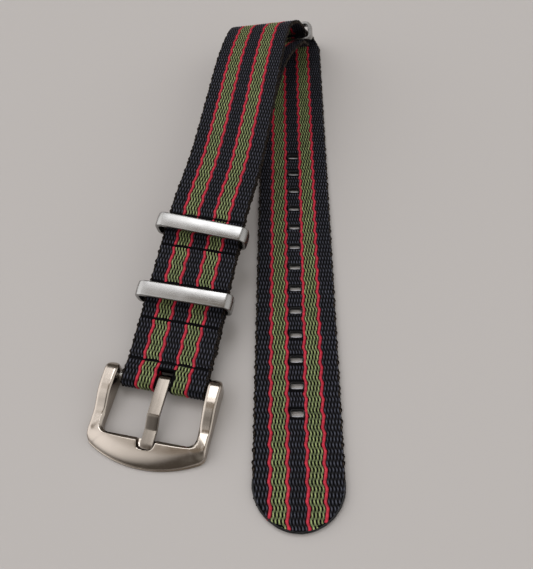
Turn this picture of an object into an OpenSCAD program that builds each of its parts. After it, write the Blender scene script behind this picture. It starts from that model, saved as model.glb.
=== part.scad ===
// Woven watch strap of the pass-through kind, folded in half and laid on a table.
// One long webbing runs from the buckle bar, up and over a soft bend, down through
// the end keeper, and back underneath as a flat tail with thirteen adjusting holes.
// A short under-strap is welded below the long one and carries the end keeper.
// X runs along the buckle bar, +Y from the buckle to the fold, +Z up from the table.
// The origin is on the underside of the tail, where it rests.

/* [Webbing] */
// Width of the webbing
strap_w = 19.6; // [18:0.2:22]
// Thickness of the webbing
strap_t = 1.3; // [1.1:0.05:1.4]
// Clearance between two layers of webbing that lie on each other
layer_gap = 0.05; // [0.02:0.01:0.1]
// Height of the slanted shoulder along each woven edge
edge_bevel = 0.3; // [0.1:0.05:0.5]

/* [Tail] */
// Length of the flat tail, from the fold to the tip
tail_len = 154.5; // [130:0.5:180]
// Distance from the fold to the origin, along the tail
rest_from_fold = 74.75; // [60:0.25:90]
// Angle between the tail and the buckle run
tail_turn = 10.2; // [6:0.2:14]
// Number of adjusting holes
hole_count = 13; // [5:1:15]
// Spacing of the adjusting holes
hole_pitch = 6.5; // [5:0.25:8]
// Width of each hole, across the tail
hole_w = 3; // [2.4:0.1:4]
// Length of each hole, along the tail
hole_l = 1.9; // [1.4:0.1:2.4]
// Distance from the tip to the last hole
tip_to_hole = 24.5; // [15:0.5:35]

/* [Buckle run] */
// Horizontal distance from the buckle bar to the fold end of the tail
run_len = 127; // [120:1:150]
// How far the fold end of the tail lies to the right of the buckle run
run_shift = 7.3; // [5:0.1:10]
// Slope of the welded part of the run above the table
run_rise = 10; // [6:1:12]
// Distance from the buckle bar to the first weld
first_weld = 4.4; // [4:0.2:6]
// Length of each panel between two pockets
panel_len = 9.8; // [8:0.2:14]
// Length of each keeper pocket
pocket_len = 9.4; // [8:0.2:12]
// Length of the ramp at each end of a pocket
pocket_ramp = 1.5; // [1.3:0.1:2]
// Width of a pressed weld line
weld_w = 0.8; // [0.4:0.1:1.2]
// Depth of a pressed weld line
weld_depth = 0.25; // [0.1:0.05:0.4]
// How far the folded-back end reaches past the second weld
tab_past_weld = 0.9; // [0.6:0.1:1.2]
// How far the under-strap starts before the second weld
under_lap = 6; // [4:0.5:8]

/* [Arch] */
// Height of the middle of the webbing at the top of the arch
arch_h = 17; // [15:0.5:20]
// Sideways tilt of the webbing where it goes over the arch
arch_tilt = 11.5; // [6:0.5:13]
// Inner clearance between the webbing and the buckle bar in its loop
loop_play = 0.2; // [0.1:0.05:0.3]

/* [Keepers] */
// Free width inside a keeper, beside the webbing
keeper_play = 1.5; // [1.2:0.1:4]
// Outer height of a keeper
keeper_h = 5.8; // [5.4:0.1:6.4]
// Width of the keeper's band, along the strap
keeper_band = 3.8; // [2.6:0.1:4]
// Thickness of the keeper's band
keeper_wall = 1.05; // [0.9:0.05:1.15]
// Outer corner radius of a keeper
keeper_r = 1.9; // [1.4:0.1:2.4]
// Free space between a keeper's lower leg and the webbing round it
leg_clear = 0.08; // [0.05:0.01:0.15]
// How far the rear keeper sits from the end of its pocket
rear_keeper_slack = 1.2; // [0.8:0.1:1.8]
// Twist of the rear keeper on the strap, seen from above
rear_keeper_twist = -3; // [-4:0.5:4]
// Backward lean of the end keeper
end_keeper_lean = 44; // [40:1:48]
// How far the end keeper sits to the right of the webbing's middle
end_keeper_aside = 0.25; // [0:0.05:0.4]

/* [Buckle] */
// Gap between each edge of the webbing and the buckle's arm
arm_gap = 0.6; // [0.5:0.05:0.9]
// Width of each arm
arm_w = 2.7; // [2.4:0.1:3.2]
// How much further out each arm stands at the front than at the bar
front_flare = 0.35; // [0:0.05:0.8]
// How far the buckle sits to the left of the webbing's middle
buckle_aside = 0.4; // [0:0.05:0.45]
// Radius of the rounded arm end round the bar
lobe_r = 2.6; // [2.4:0.1:2.9]
// Distance from the bar to the inner edge of the front
window_len = 12.9; // [12:0.1:15]
// Width of the front at its middle
front_w = 6; // [4.5:0.1:7]
// How far the front bows out past its corners
front_bow = 3.7; // [2.5:0.1:4.5]
// Thickness of the front
front_t = 2.9; // [2.6:0.1:3.2]
// Corner radius of the window
window_r = 2; // [1:0.1:3]

/* [Tang and bar] */
// Width of the tang
tang_w = 2.8; // [2.2:0.1:3]
// Thickness of the tang
tang_t = 0.85; // [0.7:0.05:0.9]
// Distance from the bar to the upper bend of the tang
tang_bend = 8.1; // [6:0.1:9]
// Length of the sloping part of the tang, along the strap
tang_slope = 2.7; // [2:0.1:3.5]
// Distance from the bar to the tang's end
tang_len = 15.1; // [14.6:0.1:15.4]
// Depth of the notch that the tang's end rests in, measured down from the front's top
notch_depth = 1; // [0.8:0.05:1.2]
// Clearance round the tang in its slot and past its end
tang_clear = 0.25; // [0.15:0.05:0.4]
// Clearance at each side of the tang in its notch, with the buckle in the middle
notch_side = 0.75; // [0.6:0.05:1]
// Outer radius of the spring bar's tube
bar_r = 0.9; // [0.8:0.05:1]
// Running clearance between the bar and the tang's eye
eye_clear = 0.05; // [0.03:0.01:0.08]
// Wall of the spring bar's tube
tube_wall = 0.25; // [0.2:0.05:0.3]
// Length of a pin's tip inside the buckle's arm
pin_reach = 1; // [0.8:0.1:1.4]
// Number of turns of the spring inside the bar
spring_turns = 11; // [8:1:14]
// Radius of the spring's wire
wire_r = 0.09; // [0.07:0.01:0.1]

/* [Hidden] */
round_fn = 96;
webbing_black = "#26262b";
steel = "#b9b7b2";
across = [1, 0, 0];
half_t = strap_t / 2;
half_w = strap_w / 2;

// Where the tail leaves the fold, and where the buckle bar is
fold_end = rest_from_fold * [-sin(tail_turn), cos(tail_turn), 0];
bar_pos = [fold_end[0] - run_shift, fold_end[1] - run_len, lobe_r];

// Welds, keepers and laps, as distances from the bar along the run
weld_2 = first_weld + panel_len;
weld_3 = weld_2 + pocket_len;
weld_4 = weld_3 + panel_len;
weld_5 = weld_4 + pocket_len;
welds = [first_weld, weld_2, weld_3, weld_4, weld_5];
keeper_w = strap_w + keeper_play + 2 * keeper_wall;
keeper_front_at = weld_3 - pocket_ramp - keeper_band / 2 - leg_clear;
keeper_rear_at = weld_5 - pocket_ramp - keeper_band / 2 - leg_clear - rear_keeper_slack;
tab_end = weld_2 + tab_past_weld;
under_start = weld_2 - under_lap;

// Heights of the layers' middles above the run's own plane
pair_level = (strap_t + layer_gap) / 2;
tab_level = -pair_level;
lap_level = tab_level - strap_t - layer_gap;
leg_top = -layer_gap / 2;
leg_level = leg_top - leg_clear / 2 - keeper_wall / 2;
pocket_level = leg_level - keeper_wall / 2 - leg_clear - half_t;

// The eye of the tang turns on the bar, and the webbing loops round the eye
eye_in = bar_r + eye_clear;
eye_out = eye_in + tang_t;
loop_r = bar_r + loop_play + half_t;
slot_back = loop_r + half_t + 0.2;
slot_w = tang_w + 2 * tang_clear;

// Smooth step from a to b as u goes from 0 to 1
function ease(a, b, u) = a + (b - a) * (1 - cos(180 * u)) / 2;
function unit(v) = v / norm(v);
function place(p) = [p[0], p[1], p[2]];

// A station is [x, y, z, tilt, turn]: the middle of the webbing and the way it lies
function run_station(y, level) =
    [bar_pos[0], bar_pos[1] + y * cos(run_rise) - level * sin(run_rise),
     bar_pos[2] + y * sin(run_rise) + level * cos(run_rise), 0, 0];
function width_dir(s) =
    [cos(s[4]) * cos(s[3]), sin(s[4]) * cos(s[3]), sin(s[3])];

// Chosen points of the bend, from the last weld over the arch to the tail's start, as shares:
// [of run_shift, of run_len past the fold end, of arch_h, of arch_tilt, of tail_turn]
bend_points = [
    [0.1, -0.53, 0.765, 0, 0],
    [0.05, -0.37, 0.93, 0.25, 0],
    [-0.06, -0.23, 1, 0.5, 0],
    [-0.1, -0.14, 0.97, 0.75, 0.05],
    [-0.08, -0.095, 0.918, 0.9, 0.15],
    [0.14, -0.058, 0.785, 1.1, 0.22],
    [0.38, -0.025, 0.46, 1.3, 0.35],
    [0.5, 0.004, 0.24, 0.9, 0.55],
    [0.66, 0.018, 0.14, 0.4, 0.8],
    [0.76, 0.0205, 0.078, 0.15, 0.95],
    [0.88, 0.012, (half_t + 0.05) / arch_h, 0, 1]];
function bend_station(b) =
    [bar_pos[0] + run_shift * b[0], fold_end[1] + run_len * b[1], arch_h * b[2],
     arch_tilt * b[3], tail_turn * b[4]];
bend = concat([run_station(weld_5, pair_level)],
              [for (b = bend_points) bend_station(b)],
              [[fold_end[0], fold_end[1], half_t, 0, tail_turn]]);
bend_last = len(bend) - 1;
run_dir = [0, cos(run_rise), sin(run_rise), 0, 0];
tail_dir = [sin(tail_turn), -cos(tail_turn), 0, 0, 0];

// Curve through stations: each piece is a cubic whose end slopes look at both neighbours
function gap_len(p, k) = norm(place(p[k + 1]) - place(p[k]));
function chord(p, k) = (p[k + 1] - p[k]) / gap_len(p, k);
function slope(p, k, first, last) =
    k == 0 ? first :
    k == len(p) - 1 ? last :
    (chord(p, k) * gap_len(p, k - 1) + chord(p, k - 1) * gap_len(p, k))
        / (gap_len(p, k) + gap_len(p, k - 1));
function cubic(p, k, u, first, last) =
    (2 * pow(u, 3) - 3 * pow(u, 2) + 1) * p[k]
    + (pow(u, 3) - 2 * pow(u, 2) + u) * gap_len(p, k) * slope(p, k, first, last)
    + (3 * pow(u, 2) - 2 * pow(u, 3)) * p[k + 1]
    + (pow(u, 3) - pow(u, 2)) * gap_len(p, k) * slope(p, k + 1, first, last);
function curve(p, from, to, steps, first, last) =
    [for (k = [from:to - 1]) for (i = [0:steps - 1]) cubic(p, k, i / steps, first, last)];

// The run holds the bend as far as the end keeper, and the fold node holds the rest
run_last = 7;
bend_steps = 4;
run_bend = concat(curve(bend, 0, run_last, bend_steps, run_dir, tail_dir),
                  [cubic(bend, run_last, 0.35, run_dir, tail_dir)]);
fold_bend = concat([for (u = [0.38, 0.6, 0.8]) cubic(bend, run_last, u, run_dir, tail_dir)],
                   curve(bend, run_last + 1, bend_last, bend_steps, run_dir, tail_dir),
                   [cubic(bend, bend_last - 1, 0.98, run_dir, tail_dir)]);

// Cross-section of the webbing with slanted shoulders, then a solid swept along stations
section = [
    [-half_w, -half_t + edge_bevel], [-half_w + edge_bevel, -half_t],
    [half_w - edge_bevel, -half_t], [half_w, -half_t + edge_bevel],
    [half_w, half_t - edge_bevel], [half_w - edge_bevel, half_t],
    [-half_w + edge_bevel, half_t], [-half_w, half_t - edge_bevel]];
function heading(s, k) =
    unit(place(s[min(k + 1, len(s) - 1)]) - place(s[max(k - 1, 0)]));
function ring(s, k) =
    let (w = width_dir(s[k]), n = unit(cross(w, heading(s, k))))
    [for (q = section) place(s[k]) + q[0] * w + q[1] * n];

module sweep(s) {
    sides = len(section);
    points = [for (k = [0:len(s) - 1]) each ring(s, k)];
    walls = [for (k = [0:len(s) - 2]) for (j = [0:sides - 1])
        let (a = k * sides + j, b = k * sides + (j + 1) % sides)
        each [[a, b, b + sides], [a, b + sides, a + sides]]];
    first_cap = [for (j = [1:sides - 2]) [0, j + 1, j]];
    top = (len(s) - 1) * sides;
    last_cap = [for (j = [1:sides - 2]) [top, top + j, top + j + 1]];
    polyhedron(points, concat(first_cap, walls, last_cap), convexity = 8);
}

// The welded part of the run, drawn flat with the bar's axis at the origin
module on_run() {
    translate(bar_pos) rotate([run_rise, 0, 0]) children();
}

// Long webbing from its folded-back end round the bar, along the run and over the arch
loop_steps = 12;
ease_steps = 5;
tab_stations = [for (y = [tab_end, (tab_end + first_weld) / 2]) run_station(y, tab_level)];
under_ease = [for (i = [0:ease_steps])
    run_station(first_weld * (1 - i / ease_steps), ease(tab_level, -loop_r, i / ease_steps))];
bar_loop = [for (i = [1:loop_steps - 1])
    run_station(-loop_r * sin(180 * i / loop_steps), -loop_r * cos(180 * i / loop_steps))];
over_ease = [for (i = [0:ease_steps])
    run_station(first_weld * i / ease_steps, ease(loop_r, pair_level, i / ease_steps))];
run_stations = concat(tab_stations, under_ease, bar_loop, over_ease, run_bend);

module strap_run() {
    color(webbing_black) difference() {
        sweep(run_stations);
        on_run() {
            translate([-slot_w / 2, -loop_r - strap_t, -loop_r - strap_t])
                cube([slot_w, loop_r + strap_t + slot_back, 2 * (loop_r + strap_t)]);
            for (y = welds)
                translate([-half_w - 1, y - weld_w / 2, layer_gap / 2 + strap_t - weld_depth])
                    cube([strap_w + 2, weld_w, strap_t]);
        }
    }
}

// The end of the bend, where the webbing turns under itself
module strap_fold() {
    color(webbing_black) sweep(fold_bend);
}

// Flat tail with a rounded tip and a row of holes
module tail_outline() {
    tip = tail_len - half_w;
    difference() {
        union() {
            translate([-half_w, -tip]) square([strap_w, tip]);
            translate([0, -tip]) circle(r = half_w, $fn = round_fn);
        }
        for (i = [0:hole_count - 1])
            translate([-hole_w / 2, -tail_len + tip_to_hole + i * hole_pitch - hole_l / 2])
                square([hole_w, hole_l]);
    }
}

module strap_tail() {
    color(webbing_black) translate(fold_end) rotate([0, 0, tail_turn])
        linear_extrude(strap_t) tail_outline();
}

// End keeper's own frame: across the strap, up its legs, and down the strap's way
keeper_tilt = 1.1 * arch_tilt;
keeper_turn = 0.35 * tail_turn;
end_width = width_dir([0, 0, 0, keeper_tilt, keeper_turn]);
lean_dir = [0, sin(end_keeper_lean), cos(end_keeper_lean)];
end_up = unit(lean_dir - (lean_dir * end_width) * end_width);
end_way = cross(end_up, end_width);
leg_offset = (keeper_h - keeper_wall) / 2;
under_web = keeper_wall / 2 + leg_clear + half_t;
above_web = 0.65;
end_keeper_pos = place(bend[run_last]) + end_keeper_aside * end_width
    - (leg_offset - keeper_wall / 2 - half_t - above_web) * end_up;
end_leg = end_keeper_pos - leg_offset * end_up;

// Under-strap: welded below the run, then free, with its end turned round the end keeper
function under_level(y) =
    y < weld_3 - pocket_ramp ? (y < tab_end + 0.3 ? lap_level : pocket_level) :
    y < weld_3 ? ease(pocket_level, tab_level, (y - weld_3 + pocket_ramp) / pocket_ramp) :
    y < weld_4 ? tab_level :
    y < weld_4 + pocket_ramp ? ease(tab_level, pocket_level, (y - weld_4) / pocket_ramp) :
    y < weld_5 - pocket_ramp ? pocket_level :
    ease(pocket_level, tab_level, (y - weld_5 + pocket_ramp) / pocket_ramp);
under_ys = [under_start, tab_end, tab_end + 0.5, weld_3 - pocket_ramp, weld_3 - pocket_ramp / 2,
            weld_3, weld_4, weld_4 + pocket_ramp / 2, weld_4 + pocket_ramp, weld_5 - pocket_ramp,
            weld_5 - pocket_ramp / 2, weld_5];
function leg_station(a, b) =
    let (p = end_leg + a * end_way + b * end_up) [p[0], p[1], p[2], keeper_tilt, keeper_turn];
end_reach = keeper_band / 2 + leg_clear;
turn_steps = 6;
loose_gap = 0.15;
free_points = [
    run_station(weld_5, tab_level),
    bend_station(bend_points[0]) - [0, 0, strap_t + loose_gap, 0, 0],
    bend_station(bend_points[1]) - [0, 0, strap_t + loose_gap, 0, 0],
    bend_station([0.05, -0.236, 0.84, 0.5, 0]),
    bend_station([0.15, -0.134, 0.6, 0.8, 0.12]),
    leg_station(-end_reach - 0.6, -under_web),
    leg_station(0, -under_web)];
leg_dir = [end_way[0], end_way[1], end_way[2], 0, 0];
end_turn = [for (i = [0:turn_steps])
    leg_station(end_reach + under_web * sin(180 * i / turn_steps),
                -under_web * cos(180 * i / turn_steps))];
under_stations = concat(
    [for (y = under_ys) run_station(y, under_level(y))],
    curve(free_points, 0, len(free_points) - 1, bend_steps, run_dir, leg_dir),
    [leg_station(0, -under_web)], end_turn, [leg_station(-end_reach, under_web)]);

module under_strap() {
    color(webbing_black) sweep(under_stations);
}

// Keeper: a flat steel band bent into a closed loop, drawn round the origin
module rounded_rect(w, h, r) {
    translate([-w / 2 + r, -h / 2]) square([w - 2 * r, h]);
    translate([-w / 2, -h / 2 + r]) square([w, h - 2 * r]);
    for (x = [-1, 1]) for (y = [-1, 1])
        translate([x * (w / 2 - r), y * (h / 2 - r)]) circle(r = r, $fn = round_fn);
}

module keeper_band_loop() {
    translate([0, keeper_band / 2, 0]) rotate([90, 0, 0])
        linear_extrude(keeper_band) difference() {
            rounded_rect(keeper_w, keeper_h, keeper_r);
            rounded_rect(keeper_w - 2 * keeper_wall, keeper_h - 2 * keeper_wall,
                         keeper_r - keeper_wall);
        }
}

module run_keeper(y, twist) {
    color(steel) on_run()
        translate([0, y, leg_level + leg_offset]) rotate([0, 0, twist]) keeper_band_loop();
}

module keeper_front() { run_keeper(keeper_front_at, 0); }
module keeper_rear() { run_keeper(keeper_rear_at, rear_keeper_twist); }

module keeper_end() {
    frame = [[end_width[0], end_way[0], end_up[0], end_keeper_pos[0]],
             [end_width[1], end_way[1], end_up[1], end_keeper_pos[1]],
             [end_width[2], end_way[2], end_up[2], end_keeper_pos[2]],
             [0, 0, 0, 1]];
    color(steel) multmatrix(frame) keeper_band_loop();
}

// Buckle, drawn with the bar's axis along X through the origin
arm_in = half_w + arm_gap;
arm_out = arm_in + arm_w;
front_end = window_len + front_w;
corner_end = front_end - front_bow;
front_out = arm_out + front_flare;
bow_r = (pow(front_out, 2) + pow(front_bow, 2)) / (2 * front_bow);
buckle_pos = bar_pos - [buckle_aside, 0, 0];
front_low = -lobe_r;
front_top = front_low + front_t;
notch_w = tang_w + 2 * notch_side;
notch_end = tang_len + tang_clear;
pin_r = bar_r - tube_wall - 0.15;
pin_hole_r = pin_r + 0.05;
arm_blend = 9;

module bow_block() {
    intersection() {
        translate([-front_out, -front_end, -lobe_r])
            cube([2 * front_out, front_end - corner_end, 2 * lobe_r]);
        translate([0, -front_end + bow_r, -lobe_r])
            cylinder(r = bow_r, h = 2 * lobe_r, $fn = 4 * round_fn);
    }
    translate([0, 0, -lobe_r]) linear_extrude(2 * lobe_r)
        polygon([[-front_out, -corner_end - 0.1], [front_out, -corner_end - 0.1],
                 [front_out, -corner_end], [arm_out, 0], [arm_out, lobe_r],
                 [-arm_out, lobe_r], [-arm_out, 0], [-front_out, -corner_end]]);
}

// The window widens towards the front, and is open at the back between the arms
module window_block() {
    side = arm_in + front_flare;
    bend_y = -window_len + window_r;
    translate([0, 0, -2 * lobe_r]) {
        linear_extrude(4 * lobe_r)
            polygon([[-arm_in, 2 * lobe_r], [-arm_in, 0], [-side, bend_y],
                     [side, bend_y], [arm_in, 0], [arm_in, 2 * lobe_r]]);
        translate([-side + window_r, -window_len, 0])
            cube([2 * (side - window_r), window_len, 4 * lobe_r]);
        for (x = [-1, 1])
            translate([x * (side - window_r), bend_y, 0])
                cylinder(r = window_r, h = 4 * lobe_r, $fn = round_fn);
    }
}

// The frame seen from the side: a round lobe at the bar, and a thinner front
side_line = [[-0.2, lobe_r - 0.2], [-0.2, front_low], [-front_end, front_low],
             [-front_end, front_top - 0.8], [-corner_end, front_top],
             [-arm_blend, front_top + 0.1], [-lobe_r, front_top + 1.3]];
module buckle_side() {
    rotate([90, 0, 90]) translate([0, 0, -front_out]) union() {
        cylinder(r = lobe_r, h = 2 * front_out, $fn = round_fn);
        linear_extrude(2 * front_out) polygon(side_line);
    }
}

module buckle_frame() {
    color(steel) translate(buckle_pos) difference() {
        intersection() {
            bow_block();
            buckle_side();
        }
        window_block();
        translate([-notch_w / 2, -notch_end, front_top - notch_depth])
            cube([notch_w, notch_end, lobe_r]);
        for (side = [-1, 1])
            translate([side * (arm_in + (pin_reach + 0.2) / 2), 0, 0]) rotate([0, 90, 0])
                cylinder(r = pin_hole_r, h = pin_reach + 0.2, center = true, $fn = round_fn);
    }
}

// Tang: an eye round the bar and a flat bar that steps down into the notch
tang_top = eye_out;
tang_rest = front_top - notch_depth + 0.03;
slope_end = tang_bend + tang_slope;
tang_line = [[-0.2, tang_top], [-0.2, tang_top - tang_t], [-tang_bend, tang_top - tang_t],
             [-slope_end, tang_rest], [-tang_len, tang_rest], [-tang_len, tang_rest + tang_t],
             [-slope_end, tang_rest + tang_t], [-tang_bend, tang_top]];
module buckle_tang() {
    color(steel) translate(bar_pos) rotate([90, 0, 90]) translate([0, 0, -tang_w / 2])
        difference() {
            union() {
                cylinder(r = eye_out, h = tang_w, $fn = round_fn);
                linear_extrude(tang_w) polygon(tang_line);
            }
            translate([0, 0, -1]) cylinder(r = eye_in, h = tang_w + 2, $fn = round_fn);
        }
}

// Spring bar: a tube with rolled-in ends, two shouldered pins and a coil spring between them
tube_half = arm_in - 0.25;
tube_in = bar_r - tube_wall;
lip_w = 0.4;
head_w = 0.8;
head_at = tube_half - lip_w - 0.1;
head_r = tube_in - 0.04;
tip_at = arm_in + pin_reach;

module spring_bar_tube() {
    profile = [[pin_hole_r, tube_half], [bar_r, tube_half], [bar_r, -tube_half],
               [pin_hole_r, -tube_half], [pin_hole_r, -tube_half + lip_w],
               [tube_in, -tube_half + lip_w], [tube_in, tube_half - lip_w],
               [pin_hole_r, tube_half - lip_w]];
    color(steel) translate(buckle_pos) rotate([0, 90, 0])
        rotate_extrude($fn = round_fn) polygon(profile);
}

module spring_bar_pin(side) {
    profile = [[0, head_at - head_w], [head_r, head_at - head_w], [head_r, head_at],
               [pin_r, head_at], [pin_r, tip_at], [0, tip_at]];
    color(steel) translate(buckle_pos) rotate([0, side * 90, 0])
        rotate_extrude($fn = round_fn) polygon(profile);
}

module spring_bar_pin_left() { spring_bar_pin(-1); }
module spring_bar_pin_right() { spring_bar_pin(1); }

// Coil spring as one unbroken tube round the bar's axis
coil_r = head_r - wire_r - 0.03;
coil_half = head_at - head_w - 0.05 - wire_r;
coil_sides = 5;
coil_rings = 8;
coil_last = spring_turns * coil_rings;
coil_lead = 2 * coil_half / spring_turns;
echo(least_gap_between_spring_turns = coil_lead - 2 * wire_r);
function coil_point(i) =
    let (a = 360 * i / coil_rings)
    [-coil_half + coil_lead * i / coil_rings, coil_r * cos(a), coil_r * sin(a)];
function coil_ring(i) =
    let (a = 360 * i / coil_rings, out = [0, cos(a), sin(a)])
    [for (j = [0:coil_sides - 1])
        coil_point(i) + wire_r * (cos(360 * j / coil_sides) * across
                                  + sin(360 * j / coil_sides) * out)];

module spring_bar_spring() {
    points = [for (i = [0:coil_last]) each coil_ring(i)];
    walls = [for (i = [0:coil_last - 1]) for (j = [0:coil_sides - 1])
        let (a = i * coil_sides + j, b = i * coil_sides + (j + 1) % coil_sides)
        each [[a, b, b + coil_sides], [a, b + coil_sides, a + coil_sides]]];
    first_cap = [for (j = [1:coil_sides - 2]) [0, j + 1, j]];
    top = coil_last * coil_sides;
    last_cap = [for (j = [1:coil_sides - 2]) [top, top + j, top + j + 1]];
    color(steel) translate(buckle_pos)
        polyhedron(points, concat(first_cap, walls, last_cap));
}

strap_run();
strap_fold();
strap_tail();
under_strap();
buckle_frame();
buckle_tang();
spring_bar_tube();
spring_bar_pin_left();
spring_bar_pin_right();
spring_bar_spring();
keeper_front();
keeper_rear();
keeper_end();
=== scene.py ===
"""Woven watch strap, folded in half on a table, with its buckle and three keepers.

The strap is a long webbing that loops round the buckle's bar, runs up over a soft arch, passes
down through the end keeper and returns below as a flat tail. A short under-strap is welded
below it. Sizes are millimetres until a mesh is made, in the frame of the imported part.
"""
import logging
import math
from dataclasses import dataclass, field
from enum import Enum
from functools import partial

import bpy
import numpy as np
from mathutils import Matrix, Vector


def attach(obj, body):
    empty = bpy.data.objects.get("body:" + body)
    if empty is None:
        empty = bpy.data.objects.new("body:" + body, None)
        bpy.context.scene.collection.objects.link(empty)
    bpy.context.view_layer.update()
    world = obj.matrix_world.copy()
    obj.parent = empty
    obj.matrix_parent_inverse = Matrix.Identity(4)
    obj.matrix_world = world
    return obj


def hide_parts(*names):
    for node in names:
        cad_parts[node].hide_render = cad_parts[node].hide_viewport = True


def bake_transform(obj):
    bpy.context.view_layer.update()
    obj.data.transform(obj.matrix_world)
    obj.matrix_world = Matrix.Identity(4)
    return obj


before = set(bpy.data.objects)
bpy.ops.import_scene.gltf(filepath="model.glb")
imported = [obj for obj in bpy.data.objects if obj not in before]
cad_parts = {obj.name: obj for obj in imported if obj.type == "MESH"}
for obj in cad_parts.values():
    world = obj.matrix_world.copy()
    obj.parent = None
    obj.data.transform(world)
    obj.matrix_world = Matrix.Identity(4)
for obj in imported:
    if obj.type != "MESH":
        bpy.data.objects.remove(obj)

MM = 0.001
LOG = logging.getLogger("strap")
Array = np.ndarray


class Yarn(Enum):
    """Colour of a warp yarn."""

    BLACK = "black"
    GREEN = "green"
    RED = "red"


class Face(Enum):
    """Face of the webbing: the outer one is on top of the run and under the tail."""

    OUTER = 1
    INNER = -1


def unit(v: Array) -> Array:
    """Vectors along the last axis, each divided by its length."""
    return v / np.maximum(np.linalg.norm(v, axis=-1, keepdims=True), 1e-12)


def ease(a: float, b: float, u: Array) -> Array:
    """Half a cosine wave from a to b as u goes from 0 to 1."""
    return a + (b - a) * (1 - np.cos(np.pi * np.clip(u, 0, 1))) / 2


def step(low: float, high: float, x: Array) -> Array:
    """Smooth step 3u^2 - 2u^3, where u is x's share of the way from low to high."""
    u = np.clip((x - low) / (high - low), 0, 1)
    return u * u * (3 - 2 * u)


def noise(x: Array, seed: float) -> Array:
    """Smooth irregular wave between about -1 and 1: three sines of unrelated pitch."""
    return (np.sin(x * 1.31 + seed) + np.sin(x * 2.77 + 1.9 * seed)
            + np.sin(x * 0.53 + 3.1 * seed)) / 3


def pairs(u: Array, v: Array) -> Array:
    """UV pairs (u, v), in the broadcast shape of the two."""
    return np.stack(np.broadcast_arrays(u, v), -1)


def round_off(u: Array) -> Array:
    """Drop of a rounded edge, 1 - sqrt(1 - (1 - u)^2): 1 at the edge, 0 where u is 1."""
    return 1 - np.sqrt(1 - (1 - u)**2)


def smoothed(curve: Array, reach: int) -> Array:
    """Mean of each value's neighbours, weighted by a cosine window of this many values."""
    window = np.hanning(reach)
    padded = np.pad(curve, reach, mode="edge")
    return np.convolve(padded, window / window.sum(), "same")[reach:-reach]


@dataclass
class Shells:
    """Closed shells gathered into one mesh, with a UV for each point."""

    points: list[Array] = field(default_factory=list)
    faces: list[Array] = field(default_factory=list)
    uvs: list[Array] = field(default_factory=list)
    total: int = 0

    def add(self, points: Array, uv: Array | None = None, looped: bool = False) -> None:
        """Adds one closed tube through rings of points, its faces pointing outwards.

        Args:
            points: positions in millimetres, one row of points a ring.
            uv: a pair for each point, or None for zeros.
            looped: whether the last ring joins the first. Otherwise both ends are capped.
        """
        faces = tube_faces(points.shape[0], points.shape[1], looped)
        flat = points.reshape(-1, 3)
        if self.volume(flat, faces) < 0:
            faces = [f[:, ::-1] for f in faces]
        self.points.append(flat)
        self.uvs.append(np.zeros((len(flat), 2)) if uv is None else uv.reshape(-1, 2))
        self.faces += [f + self.total for f in faces]
        self.total += len(flat)

    @staticmethod
    def volume(points: Array, faces: list[Array]) -> float:
        """Six times the signed volume: the sum of a . (b x c) over fans of triangles."""
        q = points - points.mean(0)
        return float(sum((q[f[:, 0]] * np.cross(q[f[:, i]], q[f[:, i + 1]])).sum()
                         for f in faces for i in range(1, f.shape[1] - 1)))

    def build(self, name: str, material: bpy.types.Material,
              crease: float = 180.0) -> bpy.types.Object:
        """Makes the mesh and its object at the origin.

        Args:
            name: the object's name.
            material: the material of all its faces.
            crease: angle in degrees past which an edge is shaded sharp.

        Returns:
            The new object, linked to the scene.
        """
        mesh = bpy.data.meshes.new(name)
        points = np.concatenate(self.points) * MM
        corners = np.concatenate([f.ravel() for f in self.faces]).astype(np.int32)
        counts = np.concatenate([np.full(len(f), f.shape[1]) for f in self.faces])
        starts = np.concatenate([[0], np.cumsum(counts)[:-1]]).astype(np.int32)
        mesh.vertices.add(len(points))
        mesh.vertices.foreach_set("co", points.astype(np.float32).ravel())
        mesh.loops.add(len(corners))
        mesh.loops.foreach_set("vertex_index", corners)
        mesh.polygons.add(len(counts))
        mesh.polygons.foreach_set("loop_start", starts)
        mesh.polygons.foreach_set("use_smooth", np.ones(len(counts), bool))
        layer = mesh.uv_layers.new(name="lay")
        layer.data.foreach_set("uv", np.concatenate(self.uvs)[corners].astype(np.float32).ravel())
        mesh.update(calc_edges=True)
        mesh.validate()
        if crease < 180:
            mesh.set_sharp_from_angle(angle=math.radians(crease))
        mesh.materials.append(material)
        made = bpy.data.objects.new(name, mesh)
        bpy.context.scene.collection.objects.link(made)
        LOG.info("%s: %d faces", name, len(counts))
        return made


def tube_faces(rings: int, sides: int, looped: bool = False) -> list[Array]:
    """Walls between rings of points, with a cap at each end, or joined end to end.

    Args:
        rings: number of rings.
        sides: points in a ring.
        looped: whether the last ring joins the first.

    Returns:
        The walls as quads, and the caps unless looped.
    """
    k = np.arange(rings if looped else rings - 1)[:, None]
    j = np.arange(sides)[None, :]
    here, there, turn = k * sides, (k + 1) % rings * sides, (j + 1) % sides
    walls = np.stack([here + j, here + turn, there + turn, there + j], -1).reshape(-1, 4)
    if looped:
        return [walls]
    return [walls, np.array([np.arange(sides)[::-1], (rings - 1) * sides + np.arange(sides)])]


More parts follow.
